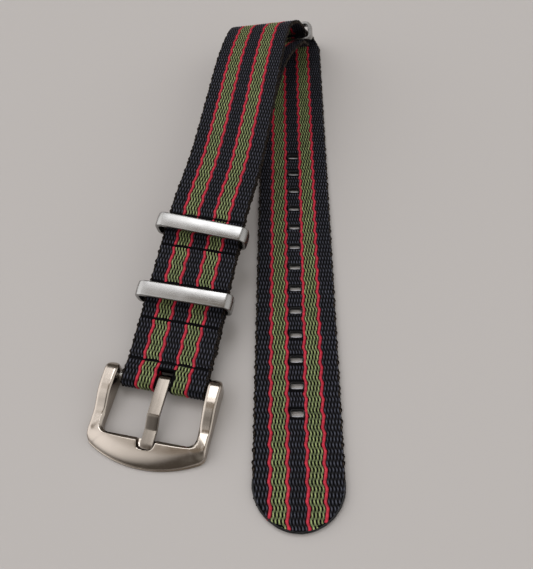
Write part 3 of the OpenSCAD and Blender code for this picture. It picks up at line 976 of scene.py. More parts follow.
@dataclass
class UnderStrap:
    """The short webbing below the run, whose end turns round the end keeper's lower leg."""

    lay: Layout
    finishes: "Finishes"
    lap_ramp: float = 0.5
    arch_gap: float = 0.15
    lead_in: float = 0.6

    def level(self, y: Array) -> Array:
        """Height of its middle: it drops below the keepers' legs in the two pockets."""
        lay = self.lay
        tab = -lay.pair_level
        lap = tab - lay.strap_t - lay.layer_gap
        pocket = lay.leg_level - lay.keeper_wall / 2 - lay.leg_clear - lay.half_t
        w = lay.welds
        lap_end = w[1] + lay.tab_past_weld
        keys = [w[1] - lay.under_lap, lap_end, lap_end + self.lap_ramp,
                w[2] - lay.pocket_ramp, w[2] - lay.pocket_ramp / 2, w[2], w[3],
                w[3] + lay.pocket_ramp / 2, w[3] + lay.pocket_ramp, w[4] - lay.pocket_ramp,
                w[4] - lay.pocket_ramp / 2, w[4]]
        mid = (pocket + tab) / 2
        return np.interp(y, keys, [lap, lap, pocket, pocket, mid, tab, tab, mid, pocket, pocket,
                                   mid, tab])

    def line(self) -> Ribbon:
        """Traces the middle line from its start below the run to the end turned round the leg."""
        lay, u = self.lay, np.linspace(0, 1, 60)
        pose = EndKeeperPose(lay)
        _, way, up = pose.axes()
        leg = pose.centre - (lay.keeper_h - lay.keeper_wall) / 2 * up
        web = lay.keeper_wall / 2 + lay.leg_clear + lay.half_t
        reach = lay.keeper_band / 2 + lay.leg_clear

        def by_leg(a: Array, b: Array) -> Array:
            """Stations a along the strap's way and b above the lower leg's middle."""
            a, b = np.broadcast_arrays(np.asarray(a, float), np.asarray(b, float))
            p = leg + a[..., None] * way + b[..., None] * up
            return np.concatenate([p, np.broadcast_to(pose.angles, p.shape[:-1] + (2,))], -1)

        drop = np.array([0, 0, lay.strap_t + self.arch_gap, 0, 0])
        rows = lay.bend_rows()
        free = np.concatenate([
            lay.stations(lay.welds[4:], -lay.pair_level), rows[:2] - drop,
            lay.share_rows(np.array([[0.05, -0.236, 0.84, 0.5, 0],
                                     [0.15, -0.134, 0.6, 0.8, 0.12]])),
            by_leg([-reach - self.lead_in, 0.0], [-web, -web])])
        y = np.linspace(lay.welds[1] - lay.under_lap, lay.welds[4], 500)
        slope = np.concatenate([way, [0, 0]])
        pieces = [lay.stations(y, self.level(y))]
        pieces += [hermite(free, lay.run_dir, slope, k, u) for k in range(len(free) - 1)]
        pieces += [by_leg(reach * u, -web + 0 * u),
                   by_leg(reach + web * np.sin(np.pi * u), -web * np.cos(np.pi * u)),
                   by_leg(reach - 2 * reach * u, web + 0 * u)]
        return Ribbon(np.concatenate(pieces))

    def build(self) -> None:
        ribbon = self.line()
        webbing = Webbing("under_strap", "run", ribbon, 0.0, ribbon.length, self.finishes,
                          free_start=True, free_end=True)
        core = webbing.build()
        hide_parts("under_strap")
        LOG.info("under-strap %.1f mm", ribbon.length)


@dataclass
class Keepers:
    """Three flat steel bands, each bent into a closed loop round the strap."""

    lay: Layout
    finishes: "Finishes"
    corner: float = 0.24
    crown: float = 0.13

    def band(self) -> tuple[Array, Array]:
        """Points of one keeper round the origin, with the strap's way along Y.

        The band's section is a flat rectangle whose corners are rounded and whose outside is
        a little crowned. It is carried round a rounded rectangle.

        Returns:
            Points in rings, and their UVs.
        """
        lay = self.lay
        half_w = lay.strap_w / 2 + lay.keeper_play / 2 + lay.keeper_wall
        path, out = round_rect(half_w - lay.keeper_wall / 2, (lay.keeper_h - lay.keeper_wall) / 2,
                               lay.keeper_r - lay.keeper_wall / 2, 12, 16)
        section, _ = round_rect(lay.keeper_band / 2, lay.keeper_wall / 2, self.corner, 4, 10)
        edge = section[:, 0] / (lay.keeper_band / 2)
        lift = section[:, 1] - np.where(section[:, 1] > 0, self.crown * edge**2, 0)
        x = path[:, :1] + out[:, :1] * lift
        z = path[:, 1:] + out[:, 1:] * lift
        y = np.broadcast_to(section[:, 0], x.shape)
        round_len = np.concatenate([[0], np.cumsum(np.linalg.norm(np.diff(path, axis=0), axis=1))])
        return np.stack([x, y, z], -1), pairs(round_len[:, None], section[:, 0])

    def build(self) -> None:
        """Builds the keepers where the solids are."""
        lay = self.lay
        points, uv = self.band()
        leg = (lay.keeper_h - lay.keeper_wall) / 2
        back = lay.pocket_ramp + lay.keeper_band / 2 + lay.leg_clear
        for name, at, twist in (("keeper_front", lay.welds[2] - back, 0.0),
                                ("keeper_rear", lay.welds[4] - back - lay.rear_slack,
                                 math.radians(lay.rear_twist))):
            x = points[..., 0] * math.cos(twist) - points[..., 1] * math.sin(twist)
            y = points[..., 0] * math.sin(twist) + points[..., 1] * math.cos(twist)
            placed = lay.on_run(at + y, lay.leg_level + leg + points[..., 2], x)
            self.finish(name, name.replace("keeper_", "") + "_keeper", placed, uv)
        pose = EndKeeperPose(lay)
        across, way, up = pose.axes()
        placed = (pose.centre + points[..., :1] * across + points[..., 1:2] * way
                  + points[..., 2:] * up)
        self.finish("keeper_end", "end_keeper", placed, uv)

    def finish(self, node: str, body: str, points: Array, uv: Array) -> None:
        """Makes one keeper's piece, named after its node, ties it to its body and hides the node.
        """
        shells = Shells()
        shells.add(points, uv, looped=True)
        piece = shells.build(f"{node}_band", self.finishes.keeper, 60)
        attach(piece, body)
        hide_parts(node)


@dataclass
class Buckle:
    """The buckle's frame: two arms with domed round ends, and a raised, bowed front plate."""

    lay: Layout
    finishes: "Finishes"
    arm_in: float = 10.4
    arm_out: float = 13.5
    flare_in: float = 0.2
    flare_out: float = -0.3
    window: float = 12.9
    window_r: float = 2.0
    front_end: float = 18.9
    bow: float = 3.7
    corner_back: float = 1.2
    corner_in: float = 1.3
    knee: float = 0.12
    fine_half: float = 2.8
    plate_from: float = 9.5
    front_from: float = 11.2
    front_full: float = 14.6
    front_slope: float = 0.1
    full_width: float = 4.2
    full_height: float = 2.4
    edge_round: float = 0.7
    wall_h: float = 1.2
    lip: float = 0.26
    bevel: float = 0.65
    notch_half: float = 2.15
    notch_end: float = 15.35
    notch_floor: float = -0.7

    def side(self, x: float, y: Array, reach: float) -> Array:
        """Left arm's edge: x, and the flare's share of the way to reach."""
        flare = self.flare_out if x == self.arm_out else self.flare_in
        return np.stack([-(x + flare * np.clip(-y / reach, 0, 1)), y], -1)

    def outlines(self) -> tuple[Array, Array]:
        """Matching points of the outer and the inner outline, from the left arm's end round.

        The arm's end is a half circle in plan, the outer corner is a quadratic curve, the inner
        one is a quarter circle, and the bow is an arc. They are sampled in step.

        Returns:
            Outer and inner points (x, y), one row a section.
        """
        half, mid = (self.arm_out - self.arm_in) / 2, (self.arm_out + self.arm_in) / 2
        back = self.lay.lobe_r - half
        cap = np.radians(np.linspace(5, 90, 14))[:-1]
        end = np.stack([np.full_like(cap, -mid), back + half * np.cos(cap)], -1)
        wide = np.stack([half * np.sin(cap), np.zeros_like(cap)], -1)
        corner, out_x = self.front_end - self.bow, self.arm_out + self.flare_out
        in_x, bend = self.arm_in + self.flare_in, self.window - self.window_r
        radius = (out_x**2 + self.bow**2) / (2 * self.bow)
        down = np.linspace(0, 1, 64)
        arm_o = self.side(self.arm_out, back - (back + corner - self.corner_back) * down, corner)
        arm_i = self.side(self.arm_in, back - (back + bend) * down, bend)
        bow_x = out_x - self.corner_in
        bow_y = radius - self.front_end - np.sqrt(radius**2 - bow_x**2)
        u = np.linspace(0, 1, 24)[1:, None]
        knee = np.array([-out_x, -corner - self.knee])
        turn_o = (1 - u)**2 * arm_o[-1] + 2 * u * (1 - u) * knee + u**2 * np.array([-bow_x, bow_y])
        a = np.pi * (1 + u / 2)
        turn_i = (np.array([-in_x + self.window_r, -bend])
                  + self.window_r * np.concatenate([np.cos(a), np.sin(a)], 1))
        edge = in_x - self.window_r
        xs = np.concatenate([np.linspace(edge, self.fine_half, 28)[1:], [
            2.6, 2.45, 2.3, 2.2, 2.1, 2.0, 1.9, 1.8, 1.65, 1.4, 1.0, 0.5, 0.0]])
        widen = np.clip((xs - self.fine_half) / (edge - self.fine_half), 0, 1)
        ox = xs + (bow_x - edge) * widen
        front_o = np.stack([-ox, radius - self.front_end - np.sqrt(radius**2 - ox**2)], -1)
        front_i = np.stack([-xs, np.full_like(xs, -self.window)], -1)
        left_o = np.concatenate([end - wide, arm_o, turn_o, front_o])
        left_i = np.concatenate([end + wide, arm_i, turn_i, front_i])
        mirror = np.array([-1, 1])
        return (np.concatenate([left_o, left_o[-2::-1] * mirror]),
                np.concatenate([left_i, left_i[-2::-1] * mirror]))

    def top(self, y: Array) -> Array:
        """Height of the upper side: a circle behind the bar, a long slope, then the plate."""
        keys = np.array([-19, -10.1, -9.5, -8.9, -8.1, -7.2, -6.2, -5.3, -4.5, -3.4, -2.2, -1, 0])
        heights = np.array([0.36, 0.36, 0.36, 0.42, 0.7, 1.13, 1.66, 2.08, 2.35, 2.52, 2.58, 2.6,
                            2.6])
        fine = np.linspace(-19, 0, 760)
        slope = smoothed(np.interp(fine, keys, heights), 17)
        return np.where(y > 0, -self.bottom(y), np.interp(y, fine, slope))

    def bottom(self, y: Array) -> Array:
        """Height of the lower side: a circle behind the bar, and level in front of it."""
        return -np.sqrt(np.maximum(self.lay.lobe_r**2 - np.maximum(y, 0)**2, 0))

    def across_top(self, width: Array, front: Array) -> Array:
        """Shares of the way from the outer to the inner edge at which the top is sampled.

        On the arms they follow 1 - cos, closest at both edges. On the front they are distances
        from the inner edge, closest at the bevel and at the notch's end.
        """
        inner = np.array([0, 0.3, 0.62, 0.7, 0.95, 1.25, 1.55, 1.8, 1.98, 2.1, 2.2, 2.3, 2.4, 2.5,
                          2.6, 2.8])
        outer = np.array([0.12, 0.25, 0.38, 0.5, 0.62, 0.73, 0.83, 0.91, 0.97, 1.0])
        near = inner * np.minimum(width / self.full_width, 1)
        far = near[:, -1:] + (width - self.lip - near[:, -1:]) * outer
        on_front = 1 - np.concatenate([near, far], 1)[:, ::-1] / width
        on_arm = (1 - np.cos(np.linspace(0, np.pi, len(inner) + len(outer)))) / 2
        return on_arm + (on_front - on_arm) * front

    def upper(self, xy: Array, v: Array, width: Array, mean_y: Array, front: Array) -> Array:
        """Heights of the upper side, from the outer to the inner edge.

        They are the top's less two drops: a quarter ellipse at the outer edge, small on the
        arms and broad on the front, and the same or a straight bevel at the inner edge. The front
        also slopes down outward. The notch is a scoop where (x / a)^3 + (y / b)^3 < 1.

        Args:
            xy: points in plan, one row a section.
            v: their shares of the way from the outer to the inner edge.
            width: each section's width.
            mean_y: each section's place along the buckle.
            front: share by which a section belongs to the front.

        Returns:
            Heights, one row a section.
        """
        plate = step(self.plate_from - 0.4, self.plate_from + 0.3, -mean_y)
        bevel = step(self.plate_from - 0.2, self.plate_from + 1.2, -mean_y)
        tall = np.minimum((self.top(mean_y) - self.bottom(mean_y)) / self.full_height, 1)
        round_x = np.minimum(self.edge_round + 0.2 * plate, 0.5 * width)
        reach_o = round_x + (0.82 * width - round_x) * front
        drop_o = (0.55 + 0.05 * plate + 1.4 * front) * tall
        reach_i = round_x + (self.bevel - round_x) * bevel
        drop_i = (0.5 - 0.05 * bevel) * tall
        from_o = np.clip(v * width / reach_o, 0, 1)
        from_i = np.clip((1 - v) * width / reach_i, 0, 1)
        curve_i = round_off(from_i)
        z = self.top(xy[..., 1]) - drop_o * round_off(from_o)
        z = z - drop_i * (curve_i + (1 - from_i - curve_i) * bevel)
        z = z - self.front_slope * tall * front * (1 - v) * width
        deep = np.maximum(-xy[..., 1] - self.window, 0) / (self.notch_end - self.window)
        scoop = ((np.abs(xy[..., 0]) / self.notch_half)**3 + deep**3)**(1 / 3)
        cut = np.where(front > 0.5, 1 - step(0.8, 1.03, scoop), 0)
        return z + (np.minimum(self.notch_floor, z) - z) * cut

    def lower(self, z: Array, width: Array, mean_y: Array, front: Array) -> tuple[Array, Array]:
        """The walls and the lower side, from the inner edge back to the outer one.

        A wall has rows (distance from its edge, height above the lower side), which shrink where
        the frame is thin. On the front the outer wall steps in above a thin lip.

        Args:
            z: heights of the upper side.
            width: each section's width.
            mean_y: each section's place along the buckle.
            front: share by which a section belongs to the front.

        Returns:
            Shares of the way from the outer to the inner edge, and heights.
        """
        low = self.bottom(mean_y)
        rise_i = np.minimum((z[:, -1:] - low) / self.wall_h, 1)
        rise_o = np.minimum((z[:, :1] - low) / self.wall_h, 1)
        inner = ((0.0, 0.5), (0.0, 0.28), (0.1, 0.08), (0.3, 0.0))
        rounded = ((0.3, 0.0), (0.1, 0.06), (0.0, 0.2))
        stepped = ((0.0, 0.36), (0.08, 0.45), (self.lip * 0.8, 0.47), (self.lip, 0.56))
        rows = [(1 - d * rise_i / width, low + h * rise_i) for d, h in inner]
        rows += [(d * rise_o / width, low + h * rise_o) for d, h in rounded]
        rows += [(d * front / width, low + h * rise_o) for d, h in stepped]
        return np.concatenate([v for v, _ in rows], 1), np.concatenate([h for _, h in rows], 1)

    def build(self) -> None:
        """Builds the frame: each section runs over the top, down the inside and back below."""
        outer, inner = self.outlines()
        width = np.linalg.norm(outer - inner, axis=1)[:, None]
        mean_y = ((outer[:, 1] + inner[:, 1]) / 2)[:, None]
        front = step(self.front_from, self.front_full, -mean_y)

        def plan(v: Array) -> Array:
            """Points in plan at shares v of the way from the outer to the inner outline."""
            return outer[:, None] + (inner - outer)[:, None] * v[..., None]

        v = self.across_top(width, front)
        z = self.upper(plan(v), v, width, mean_y, front)
        v_low, z_low = self.lower(z, width, mean_y, front)
        z_all = np.concatenate([z, z_low], 1)[..., None]
        points = np.concatenate([plan(np.concatenate([v, v_low], 1)), z_all], -1)
        points = points + self.lay.buckle_pos
        shells = Shells()
        shells.add(points, points[..., :2] - self.lay.buckle_pos[:2])
        piece = shells.build("buckle_frame_body", self.finishes.buckle, 34)
        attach(piece, "buckle")
        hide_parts("buckle_frame")


@dataclass
class Tang:
    """The tang: a flat bar rolled into an eye round the spring bar and stepped down in front."""

    lay: Layout
    finishes: "Finishes"
    half_w: float = 1.4
    thick: float = 0.85
    eye_in: float = 0.95
    bend: float = 8.1
    slope: float = 2.7
    reach: float = 15.1
    rest: float = -0.67
    tip_r: float = 0.8
    corner: float = 0.22

    def build(self) -> None:
        """Sweeps a rounded rectangle along the tang's side line.

        The line runs from the tip over two tight bends to the bar, and follows a circle of the
        eye's middle radius for most of a turn. In plan the tip's corners are quarter circles,
        and the tip is thinned to about 0.7 of the tang's thickness.
        """
        mid = self.eye_in + self.thick / 2
        lower = self.rest + self.thick / 2
        foot = -self.bend - self.slope
        rounded = -self.reach + self.tip_r * (1 - np.cos(np.linspace(0.15, np.pi / 2, 9)))
        y = np.concatenate([
            rounded, np.linspace(-self.reach + self.tip_r, foot - 0.6, 8)[1:],
            np.linspace(foot - 0.5, foot + 0.5, 13), np.linspace(foot + 0.7, -self.bend - 0.7, 6),
            np.linspace(-self.bend - 0.5, -self.bend + 0.5, 13),
            np.linspace(-self.bend + 0.7, -0.12, 24)])
        fine = np.linspace(-self.reach - 1, 0, 1600)
        ramp = smoothed(np.interp(fine, [foot, -self.bend], [0, 1]), 61)
        z = lower + (mid - lower) * np.interp(y, fine, ramp)
        turn = np.radians(np.linspace(90, -188, 34))
        line = np.concatenate([np.stack([y, z], -1),
                               mid * np.stack([np.cos(turn), np.sin(turn)], -1)])
        heading = unit(np.gradient(line, axis=0))
        normal = np.stack([-heading[:, 1], heading[:, 0]], -1)
        past = np.clip((line[:, 0] + self.reach) / self.tip_r, 0, 1)
        past = np.where(np.arange(len(line)) < len(rounded), past, 1)
        tip = 1 - self.tip_r / self.half_w * round_off(past)
        section, _ = round_rect(1.0, 1.0, self.corner, 4, 3)
        across = section[:, 0] * self.half_w * tip[:, None]
        lift = section[:, 1] * self.thick / 2 * (0.7 + 0.3 * np.sqrt(past))[:, None]
        yz = line[:, None] + normal[:, None] * lift[..., None]
        points = np.stack([across, yz[..., 0], yz[..., 1]], -1) + self.lay.bar_pos
        shells = Shells()
        shells.add(points, points[..., :2] - self.lay.bar_pos[:2])
        piece = shells.build("buckle_tang_body", self.finishes.tang, 50)
        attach(piece, "tang")
        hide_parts("buckle_tang")


@dataclass
class SpringBar:
    """The spring bar's own solids, which keep their shapes and get a steel finish."""

    finishes: "Finishes"
    nodes: tuple[str, ...] = ("spring_bar_tube", "spring_bar_pin_left", "spring_bar_pin_right",
                              "spring_bar_spring")

    def dress(self) -> None:
        """Gives each solid its material."""
        for name in self.nodes:
            mesh = bpy.data.objects[name].data
            mesh.materials.clear()
            mesh.materials.append(self.finishes.bar)
            LOG.info("%s: dressed", name)


class Nodes:
    """Short hand for a material's or a group's nodes."""

    def __init__(self, tree: bpy.types.NodeTree) -> None:
        """Keeps the tree and empties it."""
        self.tree = tree
        tree.nodes.clear()

    def add(self, kind: str, **values: object) -> bpy.types.Node:
        """Adds a node and sets its properties, or its sockets where a name is a socket's.

        Args:
            kind: Blender's type name.
            values: properties by name, or socket values by name with spaces as underscores.

        Returns:
            The node.
        """
        node = self.tree.nodes.new(kind)
        for key, value in values.items():
            if hasattr(node, key):
                setattr(node, key, value)
            else:
                node.inputs[key.replace("_", " ")].default_value = value
        return node

    def link(self, out: bpy.types.NodeSocket, into: bpy.types.NodeSocket) -> None:
        """Joins two sockets."""
        self.tree.links.new(out, into)

    def math(self, operation: str, a: object, b: object = 0.0) -> bpy.types.NodeSocket:
        """Adds a Math node on sockets or numbers and gives its output."""
        node = self.add("ShaderNodeMath", operation=operation)
        for i, value in enumerate((a, b)):
            if isinstance(value, bpy.types.NodeSocket):
                self.link(value, node.inputs[i])
            else:
                node.inputs[i].default_value = value
        return node.outputs[0]

    def times(self, a: object, b: object) -> bpy.types.NodeSocket:
        """Product of two sockets or numbers."""
        return self.math("MULTIPLY", a, b)

    def plus(self, a: object, b: object) -> bpy.types.NodeSocket:
        """Sum of two sockets or numbers."""
        return self.math("ADD", a, b)

    def less(self, a: object, b: object) -> bpy.types.NodeSocket:
        """The first socket or number less the second."""
        return self.math("SUBTRACT", a, b)

    def noise(self, vector: bpy.types.NodeSocket, **values: float) -> bpy.types.NodeSocket:
        """Adds a Noise Texture on a vector, with socket values by name, and gives its factor."""
        node = self.add("ShaderNodeTexNoise", **values)
        self.link(vector, node.inputs["Vector"])
        return node.outputs[0]

    def relief(self, height: bpy.types.NodeSocket, shader: bpy.types.Node, strength: float,
               distance: float) -> None:
        """Adds a Bump node that turns a height into a shader's normal."""
        bump = self.add("ShaderNodeBump", Strength=strength, Distance=distance)
        self.link(height, bump.inputs["Height"])
        self.link(bump.outputs[0], shader.inputs["Normal"])

    def cover(self, group: bpy.types.NodeTree, vector: bpy.types.NodeSocket,
              shader: bpy.types.Node, **values: object) -> bpy.types.NodeSocket:
        """Places a group on a vector and joins its colour and roughness to a shader.

        Args:
            group: the group, with outputs Color, Roughness and Height.
            vector: where its pattern lies.
            shader: the shader.
            values: the group's socket values by name.

        Returns:
            The group's height.
        """
        node = self.add("ShaderNodeGroup", node_tree=group, **values)
        self.link(vector, node.inputs["Vector"])
        self.link(node.outputs["Color"], shader.inputs["Base Color"])
        self.link(node.outputs["Roughness"], shader.inputs["Roughness"])
        return node.outputs["Height"]

    def mix(self, share: object, a: object, b: object) -> bpy.types.NodeSocket:
        """Adds a colour Mix node from a to b and gives its result."""
        node = self.add("ShaderNodeMix", data_type="RGBA")
        for socket, value in ((node.inputs["Factor"], share), (node.inputs[6], a),
                              (node.inputs[7], b)):
            if isinstance(value, bpy.types.NodeSocket):
                self.link(value, socket)
            else:
                socket.default_value = value
        return node.outputs[2]


def srgb(r: int, g: int, b: int) -> tuple[float, float, float, float]:
    """Linear colour of an 8-bit one, by the sRGB curve."""
    c = [v / 255 for v in (r, g, b)]
    return (*[v / 12.92 if v <= 0.04045 else ((v + 0.055) / 1.055)**2.4 for v in c], 1.0)


def new_material(name: str, **values: object) -> tuple[bpy.types.Material, Nodes,
                                                       bpy.types.Node]:
    """Makes a material with a Principled shader joined to its output.

    Args:
        name: the material's name.
        values: the shader's socket values by name, with spaces as underscores.

    Returns:
        The material, its nodes and the shader.
    """
    material = bpy.data.materials.new(name)
    material.use_nodes = True
    n = Nodes(material.node_tree)
    out = n.add("ShaderNodeOutputMaterial")
    shader = n.add("ShaderNodeBsdfPrincipled", **values)
    n.link(shader.outputs[0], out.inputs[0])
    return material, n, shader


def new_group(name: str, inputs: dict[str, tuple[str, object]],
              outputs: dict[str, str]) -> bpy.types.NodeTree:
    """Makes a shader node group with named sockets.

    Args:
        name: the group's name.
        inputs: socket kind and default by name.
        outputs: socket kind by name.

    Returns:
        The group's tree.
    """
    tree = bpy.data.node_groups.new(name, "ShaderNodeTree")
    for key, (kind, default) in inputs.items():
        socket = tree.interface.new_socket(key, in_out="INPUT", socket_type=f"NodeSocket{kind}")
        if default is not None:
            socket.default_value = default
    for key, kind in outputs.items():
        tree.interface.new_socket(key, in_out="OUTPUT", socket_type=f"NodeSocket{kind}")
    return tree


@dataclass(frozen=True)
class FilamentLook:
    """How a yarn's filaments look: their pitch and twist, and the shares that lighten them.

    The light colour's share is a product of three factors, each a floor and a gain: the
    crown's, the filaments' and the broad unevenness. The crown's factor is painted light: its
    gain is the painted highlight on the crown, and its floor the painted shade on the flanks. It
    is raised to the power contrast.
    """

    over: float = 16.0
    along: float = 0.9
    twist: float = 3.0
    broad: float = 0.35
    flank_shade_floor: float = 0.4
    crown_highlight_gain: float = 0.6
    fine_floor: float = 0.5
    fine_gain: float = 0.9
    broad_floor: float = 0.7
    contrast: float = 2.2
    rough: float = 0.26
    rough_gain: float = 0.24


def filament_group(look: FilamentLook = FilamentLook()) -> bpy.types.NodeTree:
    """Group for a yarn: fine filaments, painted flank shade and a painted crown highlight.

    The vector is the yarn's own UV: millimetres along it, and 0 to 1 over its arch. The crown
    is 1 - |2v - 1|, the mask of the painted highlight, and the filaments are noise stretched
    along the yarn, a little twisted. Between the rows, where a cosine of the distance along is
    low, the colour is darker: painted shade where the yarn dips, which leaves a painted highlight
    on each bead.

    Args:
        look: the filaments' numbers.

    Returns:
        The group, with outputs Color, Roughness and Height.
    """
    tree = new_group("yarn filaments", {
        "Vector": ("Vector", None), "Dark": ("Color", (0, 0, 0, 1)),
        "Light": ("Color", (1, 1, 1, 1)), "Spread": ("Float", 0.6), "Row": ("Float", 1.28),
        "Beads": ("Float", 0.4)},
        {"Color": "Color", "Roughness": "Float", "Height": "Float"})
    n = Nodes(tree)
    source, out = n.add("NodeGroupInput"), n.add("NodeGroupOutput")
    split = n.add("ShaderNodeSeparateXYZ")
    n.link(source.outputs["Vector"], split.inputs[0])
    along, over = split.outputs[0], split.outputs[1]
    # Painted light: the crown mask lightens the crown as a highlight and darkens the flanks as
    # shade.
    crown = n.less(1.0, n.math("ABSOLUTE", n.less(n.times(n.math("FRACT", over), 2.0), 1.0)))
    join = n.add("ShaderNodeCombineXYZ")
    n.link(n.times(along, look.along), join.inputs[0])
    n.link(n.plus(n.times(over, look.over), n.times(along, look.twist)), join.inputs[1])
    fine = n.noise(join.outputs[0], Scale=1.0, Detail=2.0, Roughness=0.6)
    broad = n.noise(source.outputs["Vector"], Scale=look.broad, Detail=1.0)
    share = n.times(n.plus(look.flank_shade_floor, n.times(crown, look.crown_highlight_gain)),
                    n.plus(look.fine_floor, n.times(fine, look.fine_gain)))
    share = n.times(share, n.plus(look.broad_floor, n.times(broad, source.outputs["Spread"])))
    # Painted shade between the rows, where the yarn dips; it leaves a painted highlight on each
    # bead.
    wave = n.math("COSINE", n.math("DIVIDE", n.times(along, 2 * math.pi), source.outputs["Row"]))
    low = n.times(n.less(1.0, wave), 0.5)
    share = n.times(n.math("POWER", share, look.contrast),
                    n.less(1.0, n.times(low, source.outputs["Beads"])))
    ramp = n.add("ShaderNodeClamp")
    n.link(share, ramp.inputs[0])
    n.link(n.mix(ramp.outputs[0], source.outputs["Dark"], source.outputs["Light"]),
           out.inputs["Color"])
    n.link(n.plus(look.rough, n.times(fine, look.rough_gain)), out.inputs["Roughness"])
    n.link(fine, out.inputs["Height"])
    return tree


def brushed_group(smudge_scale: float = 0.22, fine_rough: float = 0.28,
                  smudge_rough: float = 0.22) -> bpy.types.NodeTree:
    """Group for brushed steel: fine lines along one direction, and smudges.

    The vector is stretched so that the lines run along its second axis. Colour, roughness and
    height follow fine noise, and a broad noise smudges the roughness.

    Args:
        smudge_scale: scale of the smudges.
        fine_rough: how much the lines change the roughness.
        smudge_rough: how much the smudges change the roughness.

    Returns:
        The group, with outputs Color, Roughness and Height.
    """
    tree = new_group("brushed steel", {
        "Vector": ("Vector", None), "Fine": ("Float", 9.0), "Along": ("Float", 0.35),
        "Color": ("Color", (0.6, 0.6, 0.6, 1)), "Rough": ("Float", 0.3),
        "Depth": ("Float", 0.12)},
        {"Color": "Color", "Roughness": "Float", "Height": "Float"})
    n = Nodes(tree)
    source, out = n.add("NodeGroupInput"), n.add("NodeGroupOutput")
    split = n.add("ShaderNodeSeparateXYZ")
    n.link(source.outputs["Vector"], split.inputs[0])
    join = n.add("ShaderNodeCombineXYZ")
    for i, stretch in enumerate(("Fine", "Along", "Fine")):
        n.link(n.times(split.outputs[i], source.outputs[stretch]), join.inputs[i])
    fine = n.noise(join.outputs[0], Scale=1.0, Detail=4.0, Roughness=0.7)
    smudge = n.noise(source.outputs["Vector"], Scale=smudge_scale, Detail=3.0)
    centred = n.less(fine, 0.5)
    shade = n.plus(1.0, n.times(centred, source.outputs["Depth"]))
    tint = n.add("ShaderNodeVectorMath", operation="SCALE")
    n.link(source.outputs["Color"], tint.inputs[0])
    n.link(shade, tint.inputs["Scale"])
    n.link(tint.outputs[0], out.inputs["Color"])
    rough = n.plus(source.outputs["Rough"], n.times(centred, fine_rough))
    n.link(n.plus(rough, n.times(n.less(smudge, 0.5), smudge_rough)), out.inputs["Roughness"])
    n.link(fine, out.inputs["Height"])
    return tree


@dataclass(frozen=True)
class YarnFinish:
    """Nylon yarn: its flank colour is painted shade and its crown colour a painted highlight."""

    name: str
    dark: tuple[float, ...]
    light: tuple[float, ...]
    spread: float = 0.6
    # Share of painted shade between the rows, which leaves a painted highlight on each bead.
    beads: float = 0.9
    gloss: float = 0.2
    relief: float = 0.3
    rise: float = 0.00003

    def make(self, group: bpy.types.NodeTree) -> bpy.types.Material:
        """Makes the material round the filament group, on the yarn's own UV."""
        material, n, shader = new_material(self.name, Specular_IOR_Level=self.gloss)
        uv = n.add("ShaderNodeUVMap", uv_map="lay")
        height = n.cover(group, uv.outputs[0], shader, Dark=self.dark, Light=self.light,
                         Spread=self.spread, Beads=self.beads)
        n.relief(height, shader, self.relief, self.rise)
        return material


@dataclass(frozen=True)
class MeltedFinish:
    """Nylon that heat has sealed, or the near-black ground below the yarns, painted shade in their
    gaps.
    """

    name: str
    dark: tuple[float, ...]
    light: tuple[float, ...]
    scale: float = 900.0
    rough: float = 0.45
    uneven: float = 0.3
    gloss: float = 0.5
    relief: float = 0.5
    rise: float = 0.00008

    def make(self) -> bpy.types.Material:
        """Makes the material: one noise on Object coordinates for colour, roughness and bump."""
        material, n, shader = new_material(self.name, Specular_IOR_Level=self.gloss)
        place = n.add("ShaderNodeTexCoord")
        grain = n.noise(place.outputs["Object"], Scale=self.scale, Detail=3.0)
        n.link(n.mix(grain, self.dark, self.light), shader.inputs["Base Color"])
        n.link(n.plus(self.rough - self.uneven / 2, n.times(grain, self.uneven)),
               shader.inputs["Roughness"])
        n.relief(grain, shader, self.relief, self.rise)
        return material


@dataclass(frozen=True)
class SteelFinish:
    """Brushed steel: tint, roughness and the way in which the brushing runs."""

    name: str
    tint: tuple[float, ...]
    rough: float
    fine: float = 9.0
    along: float = 0.12
    turn: float = 0.0
    depth: float = 0.12
    relief: float = 0.35
    rise: float = 0.000008

    def make(self, group: bpy.types.NodeTree) -> bpy.types.Material:
        """Makes the material round the brushed group, on Object coordinates in millimetres."""
        material, n, shader = new_material(self.name, Metallic=1.0)
        place = n.add("ShaderNodeTexCoord")
        mapping = n.add("ShaderNodeMapping", Scale=(1 / MM, 1 / MM, 1 / MM),
                        Rotation=(0, 0, math.radians(self.turn)))
        n.link(place.outputs["Object"], mapping.inputs["Vector"])
        height = n.cover(group, mapping.outputs[0], shader, Fine=self.fine, Along=self.along,
                         Color=self.tint, Rough=self.rough, Depth=self.depth)
        n.relief(height, shader, self.relief, self.rise)
        return material


